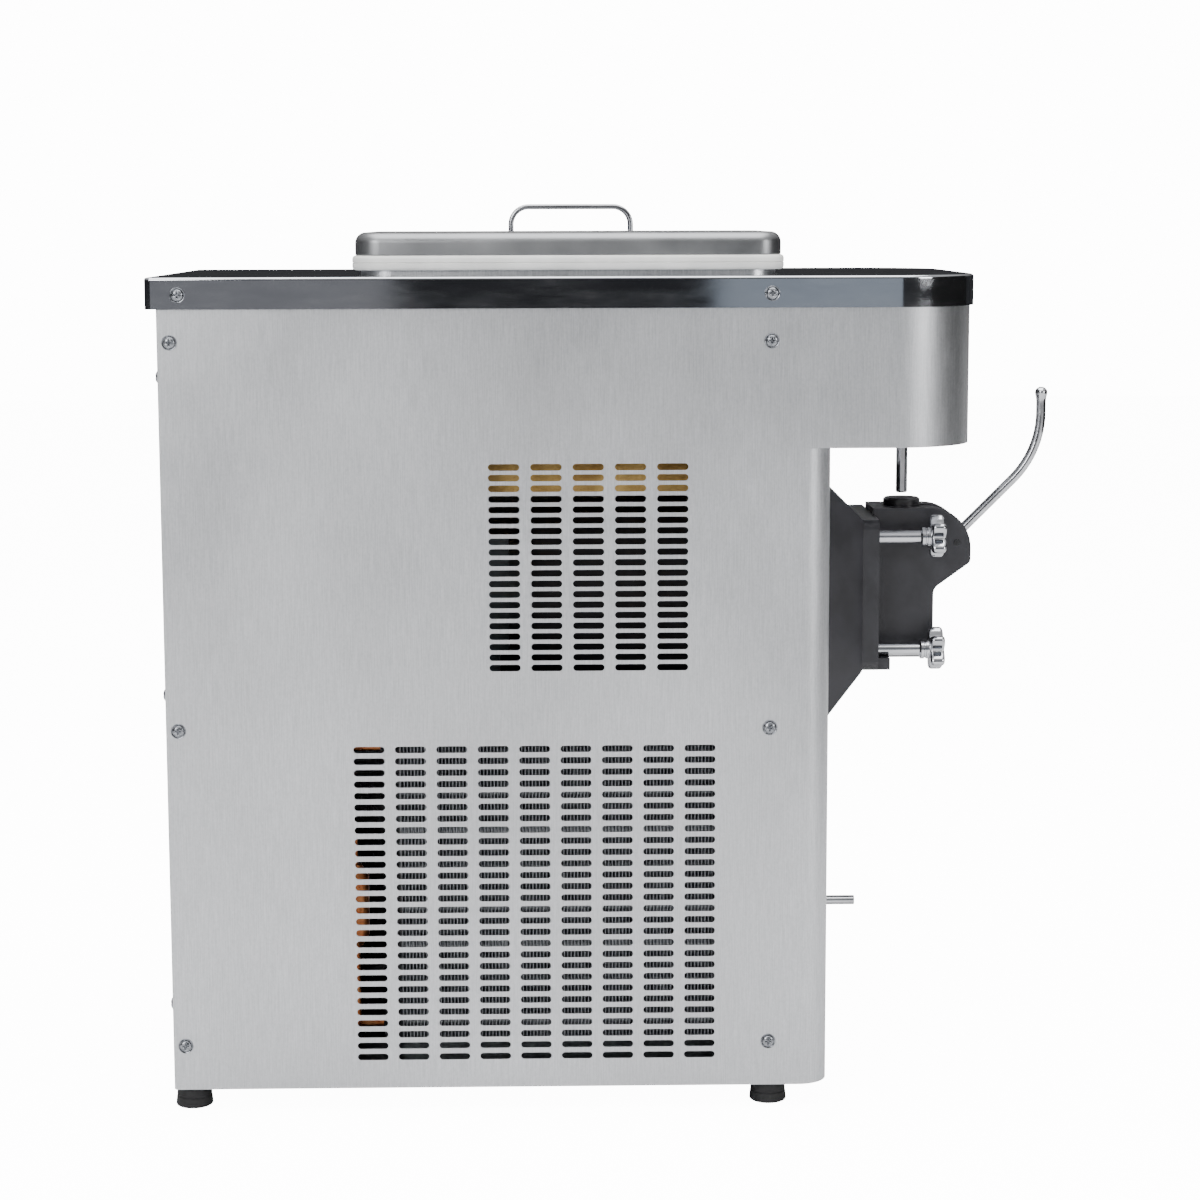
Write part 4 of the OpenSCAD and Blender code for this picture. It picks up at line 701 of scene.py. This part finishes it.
def return_spring():
    """Helix round the switch rod: the wire's circle of radius w is carried round the axis, so a point
    is ((R + w cos v) cos t, (R + w cos v) sin t, rise t + w sin v). Its upper end bears on the bridge
    above."""
    a, b = low("rod_spring"), high("rod_spring")
    mid, wire = (a + b) / 2, 1.6
    radius = (b[0] - a[0] - wire) / 2
    turns = 6
    t = np.linspace(0, turns * 2 * math.pi, turns * 28 + 1)[:, None]
    v = (np.arange(10) * 2 * math.pi / 10)[None, :]
    reach = radius + wire / 2 * np.cos(v)
    z = a[2] + wire / 2 + (b[2] - a[2] - wire) * t / t[-1] + wire / 2 * np.sin(v)
    loops = np.stack([mid[0] + reach * np.cos(t), mid[1] + reach * np.sin(t), z], axis=2)
    spring = piece("return_spring", loft(loops), MATS["chrome"], "cabinet", ["rod_spring"], 60)
    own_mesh(spring)


class SOFTSERVE_OT_nuts(bpy.types.Operator):
    """Four hand nuts: turned sleeve, grooved collar, five-lobed knob and boss"""
    bl_idname = "softserve.nuts"
    bl_label = "Hand nuts"

    def execute(self, context):
        for row in ("upper", "lower"):
            for side in ("left", "right"):
                self.nut(row + "_" + side)
        return done(context)

    def nut(self, where):
        """The knob's outline is r(a) = 14.6 + 4.6 sign(c) |c|^0.8 with c = cos 5a, so it has five lobes;
        cog rounds its edges."""
        node = "hand_nut_" + where
        a, b = low(node), high(node)
        rise = STUD_RISE if "upper" in where else -STUD_RISE
        x, z, face = (a[0] + b[0]) / 2, HEAD_Z + rise, b[1]
        sleeve = lathe([(4.1, 0), (5.0, 0), (5.6, 0.6), (5.6, 37), (6.6, 38), (8.1, 38), (8.5, 38.5),
                        (8.5, 41), (7.7, 41.6), (7.7, 42.6), (8.5, 43.2), (8.5, 45.6), (4.1, 46)], 40,
                       closed=True)
        turn = np.arange(120) * 2 * math.pi / 120
        wave = np.cos(5 * turn)
        r = 14.6 + 4.6 * np.sign(wave) * np.abs(wave) ** 0.8
        outline = np.stack([r * np.cos(turn), r * np.sin(turn)], 1)
        grip = placed(cog(outline, 12.5, 3.0), at=(0, 0, 45.5))
        boss = lathe([(0.3, 57.9), (4.6, 57.9), (5.2, 57.4), (5.2, 56), (0.3, 56)], 32)
        rows = ((1, 0, 0), (0, 0, 1), (0, -1, 0))
        nut = placed(merged(sleeve, grip, boss), rows, (x, face, z))
        piece("nut_" + where, nut, MATS["chrome"], "nut_" + where, [node], 32)


class SOFTSERVE_OT_lever(bpy.types.Operator):
    """Draw lever: hub, arm, bent rod and rounded tip"""
    bl_idname = "softserve.lever"
    bl_label = "Lever"

    def execute(self, context):
        """The rod is a circle carried along a straight run at 45 degrees, a bend and an upright run,
        swelling by a third at its tip. The arm and its ball reach back to the plunger."""
        tip_depth = BACK - (low("lever")[1] + 5.6)
        pivot = np.array(PIVOT)
        bend_at = pivot + 52
        centre = bend_at + LEVER_BEND * np.array([-math.sin(math.pi / 4), math.cos(math.pi / 4)])
        start = pivot + 7.4 / math.sqrt(2)
        top = high("lever")[2]
        run = np.linspace(0, 1, 8)[:, None] * (bend_at - start) + start
        a = np.radians(np.linspace(-45, 0, 18))
        arc = centre + LEVER_BEND * np.stack([np.cos(a), np.sin(a)], 1)
        end = np.linspace(arc[-1][1], top - 0.05, 26)[1:]
        up = np.stack([np.full(len(end), tip_depth), end], 1)
        path = np.vstack([run[:-1], arc, up])
        left = top - path[:, 1]
        swell = 1 + 0.33 / (1 + np.exp((left - 8) / 1.4))
        swell = swell * np.sqrt(np.clip(1 - np.clip((5.4 - left) / 5.6, 0, 1) ** 2, 0.01, 1))
        route = np.column_stack([0 * left, BACK - path[:, 0], path[:, 1]])
        rod = sweep(route, ring(4.2, 28), scale=swell)
        across = ((0, 1, 0), (0, 0, 1), (1, 0, 0))
        pin = (0, BACK - PIVOT[0], PIVOT[1])
        hub = lathe([(3.1, -5.4), (7.7, -5.4), (8.5, -4.6), (8.5, 4.6), (7.7, 5.4), (3.1, 5.4)], 40,
                    closed=True)
        hub = placed(hub, across, pin)
        ball = placed(lathe([(0.4, -4), (5.9, -4), (6.5, -3.4), (6.5, 3.4), (5.9, 4), (0.4, 4)], 32),
                      across, (0, BACK - PLUNGER_DEPTH, BALL_Z))
        reach, tilt = 46.1, math.radians(12.5)      # from the pin to the ball
        arm = brick((-4, -reach + 6, -3.25), (4, -7, 3.25), 0.8)
        c, s = math.cos(tilt), math.sin(tilt)
        arm = placed(arm, ((1, 0, 0), (0, -c, s), (0, s, c)), pin)
        piece("draw_lever", merged(rod, hub, ball, arm), MATS["chrome"], "lever_arm", ["lever"], 40)
        return done(context)


class SOFTSERVE_OT_condenser(bpy.types.Operator):
    """Finned condenser with its tubes"""
    bl_idname = "softserve.condenser"
    bl_label = "Condenser"

    def execute(self, context):
        """Fins are thin upright plates at even steps along the depth, each pressed into waves across
        its width: y = step + 1.1 sin(2 pi x / 9.5). Tubes run through them."""
        a, b = low("condenser"), high("condenser")
        x0, x1, y0, y1 = a[0] + 2, b[0] - 2, a[1] + 26, b[1] - 16
        count = context.scene.softserve_sizes.fins
        z0, z1 = CORE_Z
        x = np.linspace(x0, x1, 17)
        y = 1.1 * np.sin((x - x0) * 2 * math.pi / 9.5)
        rim = np.concatenate([np.stack([x, y - 0.25], 1), np.stack([x, y + 0.25], 1)[::-1]])
        flat = np.stack([np.column_stack([rim, np.full(len(rim), z)]) for z in (z0, z1)])
        fins = [loft(flat + [0, step, 0]) for step in np.linspace(y0 + 1.6, y1 - 1.6, count)]
        pitch = (z1 - z0) / 8
        tube, along = lathe([(4.6, 0), (4.6, y1 - y0)], 16), ((1, 0, 0), (0, 0, 1), (0, 1, 0))
        tubes = [placed(tube, along, (tx, y0, z0 + (k + 0.5) * pitch))
                 for tx in (x0 + 10, x1 - 10) for k in range(8)]
        piece("condenser_core", merged(*fins, *tubes), MATS["fin"], "cabinet", ["condenser"], 30)
        return done(context)


class SOFTSERVE_OT_stage(bpy.types.Operator):
    """Pale floor, soft lights, reflectors and the camera"""
    bl_idname = "softserve.stage"
    bl_label = "Stage"

    def execute(self, context):
        sizes, colours = context.scene.softserve_sizes, context.scene.softserve_colours
        self.floor(sizes, colours)
        self.world(context, sizes)
        self.lights(sizes)
        self.cards()
        self.camera(context, sizes)
        return done(context)

    def floor(self, sizes, colours):
        """A plain pale square, lifted towards white for the eye so that it meets the backdrop."""
        mat = bpy.data.materials.new("painted_floor")
        mat.use_nodes = True
        tree = mat.node_tree
        tree.nodes.clear()
        path = add(tree, "ShaderNodeLightPath").outputs["Is Camera Ray"]
        lift = add(tree, "ShaderNodeMath", {"operation": "MULTIPLY"}, {0: path, 1: sizes.backdrop * 0.92})
        shader = add(tree, "ShaderNodeBsdfPrincipled", {},
                     {"Base Color": colours.floor, "Roughness": 0.9, "Emission Color": (1, 1, 1, 1),
                      "Emission Strength": lift.outputs[0]})
        add(tree, "ShaderNodeOutputMaterial", {}, {"Surface": shader.outputs[0]})
        self.flat("floor", [(-9, -9, 0), (9, -9, 0), (9, 9, 0), (-9, 9, 0)], mat)

    def flat(self, name, corners, material):
        """A four-cornered sheet that belongs to the stage."""
        mesh = bpy.data.meshes.new(name)
        mesh.from_pydata(corners, [], [(0, 1, 2, 3)])
        mesh.materials.append(material)
        obj = bpy.data.objects.new(name, mesh)
        bpy.context.scene.collection.objects.link(obj)
        return obj

    def world(self, context, sizes):
        """White backdrop; what lights the machine is dim at the horizon and brighter overhead."""
        world = bpy.data.worlds.new("studio")
        world.use_nodes = True
        tree = world.node_tree
        tree.nodes.clear()
        way = add(tree, "ShaderNodeTexCoord").outputs["Generated"]
        rise = add(tree, "ShaderNodeSeparateXYZ", {}, {0: way}).outputs["Z"]
        share = add(tree, "ShaderNodeMapRange", {}, {"Value": rise, "From Min": 0.08, "From Max": 0.75})
        tone = add(tree, "ShaderNodeMix", {"data_type": "RGBA"},
                   {0: share.outputs[0], 6: linear("#3c3d40"), 7: linear("#ffffff")})
        room = add(tree, "ShaderNodeBackground", {}, {"Color": tone.outputs[2], "Strength": sizes.sky})
        seen = add(tree, "ShaderNodeBackground", {}, {"Color": (1, 1, 1, 1), "Strength": sizes.backdrop})
        path = add(tree, "ShaderNodeLightPath").outputs["Is Camera Ray"]
        mix = add(tree, "ShaderNodeMixShader", {}, {0: path, 1: room.outputs[0], 2: seen.outputs[0]})
        add(tree, "ShaderNodeOutputWorld", {}, {"Surface": mix.outputs[0]})
        context.scene.world = world

    def lights(self, sizes):
        """Softboxes: a wide one overhead, one high behind the camera's left, a low one at the front."""
        plan = [("top_softbox", (-0.4, 0, 2.6), (-0.2, 0, 0), 2.4, 1.0),
                ("side_softbox", (-3.6, 1.9, 1.9), (0, 0, 0.4), 1.6, 0.9),
                ("front_softbox", (-2.2, -2.6, 1.2), (0, -0.1, 0.5), 1.0, 0.35)]
        for name, at, to, size, share in plan:
            light = bpy.data.lights.new(name, "AREA")
            light.energy, light.size = sizes.key * share, size
            obj = bpy.data.objects.new(name, light)
            way = np.array(to, float) - np.array(at, float)
            obj.matrix_world = Matrix.Translation(at) @ look_along(way)
            bpy.context.scene.collection.objects.link(obj)

    def cards(self):
        """Cards that only reflections see. Two pale ones, either side of a dark gap, give the cover's
        skirt its bright ends and dark middle; a dark one off the front shades the visor's nose."""
        plan = {
            "rear_card": ("#8d8e92", 1.0,
                          [(-3, 0.43, 0.5), (-3, 1.6, 0.5), (-3, 1.6, 0.8), (-3, 0.43, 0.8)]),
            "front_card": ("#9aa3ad", 1.2,
                           [(-3, -1.3, 0.5), (-3, -0.4, 0.5), (-3, -0.4, 0.8), (-3, -1.3, 0.8)]),
            "nose_card": ("#050506", 0.0,
                          [(-1.7, -2.6, 0), (1.5, -2.6, 0), (1.5, -2.6, 1.8), (-1.7, -2.6, 1.8)]),
        }
        for name, (colour, glow, corners) in plan.items():
            mat = bpy.data.materials.new(name + "_cloth")
            mat.use_nodes = True
            tree = mat.node_tree
            tree.nodes.clear()
            shader = add(tree, "ShaderNodeBsdfPrincipled", {},
                         {"Base Color": linear("#050506"), "Roughness": 1.0,
                          "Emission Color": linear(colour), "Emission Strength": glow})
            add(tree, "ShaderNodeOutputMaterial", {}, {"Surface": shader.outputs[0]})
            card = self.flat(name, corners, mat)
            card.visible_camera = card.visible_shadow = card.visible_diffuse = False

    def camera(self, context, sizes):
        """The camera stands off the left side, level with the cover, looking a little down."""
        cam = bpy.data.cameras.new("camera")
        cam.lens, cam.sensor_width = sizes.lens, 36
        obj = bpy.data.objects.new("camera", cam)
        yaw, pitch, roll = (math.radians(v) for v in CAMERA_TURN)
        level = math.cos(pitch)
        ahead = np.array([level * math.cos(yaw), -level * math.sin(yaw), -math.sin(pitch)])
        right = np.array([-math.sin(yaw), -math.cos(yaw), 0.0])
        up = np.cross(right, ahead)
        x = math.cos(roll) * right - math.sin(roll) * up
        y = math.sin(roll) * right + math.cos(roll) * up
        turn = Matrix(np.column_stack([x, y, -ahead]).tolist()).to_4x4()
        obj.matrix_world = Matrix.Translation(CAMERA_AT) @ turn
        cam.clip_start, cam.clip_end = 0.05, 60
        context.scene.collection.objects.link(obj)
        context.scene.camera = obj


def look_along(way):
    """Turn that points -Z along way."""
    return Vector(way).to_track_quat("-Z", "Y").to_matrix().to_4x4()


class SOFTSERVE_PT_panel(bpy.types.Panel):
    """Settings and steps of the machine's looks"""
    bl_label = "Soft serve"
    bl_space_type = "VIEW_3D"
    bl_region_type = "UI"
    bl_category = "Soft serve"

    def draw(self, context):
        for group in (context.scene.softserve_sizes, context.scene.softserve_colours):
            for key in group.bl_rna.properties.keys():
                if key not in ("rna_type", "name"):
                    self.layout.prop(group, key)
        for step in STEPS:
            self.layout.operator(step.bl_idname)


STEPS = (SOFTSERVE_OT_finishes, SOFTSERVE_OT_cabinet, SOFTSERVE_OT_lid, SOFTSERVE_OT_head,
         SOFTSERVE_OT_nuts, SOFTSERVE_OT_lever, SOFTSERVE_OT_condenser, SOFTSERVE_OT_stage)
CLASSES = (SoftServeSizes, SoftServeColours, *STEPS, SOFTSERVE_PT_panel)


def register():
    """Registers the classes and hangs the settings on the scene."""
    for cls in CLASSES:
        bpy.utils.register_class(cls)
    bpy.types.Scene.softserve_sizes = PointerProperty(type=SoftServeSizes)
    bpy.types.Scene.softserve_colours = PointerProperty(type=SoftServeColours)


def unregister():
    """Takes the settings and classes away again."""
    del bpy.types.Scene.softserve_colours
    del bpy.types.Scene.softserve_sizes
    for cls in reversed(CLASSES):
        bpy.utils.unregister_class(cls)


def main():
    """Runs every step in order."""
    register()
    for step in STEPS:
        group, name = step.bl_idname.split(".")
        if getattr(getattr(bpy.ops, group), name)() != {"FINISHED"}:
            raise RuntimeError("step did not finish: " + step.bl_idname)


if __name__ == "__main__":
    main()
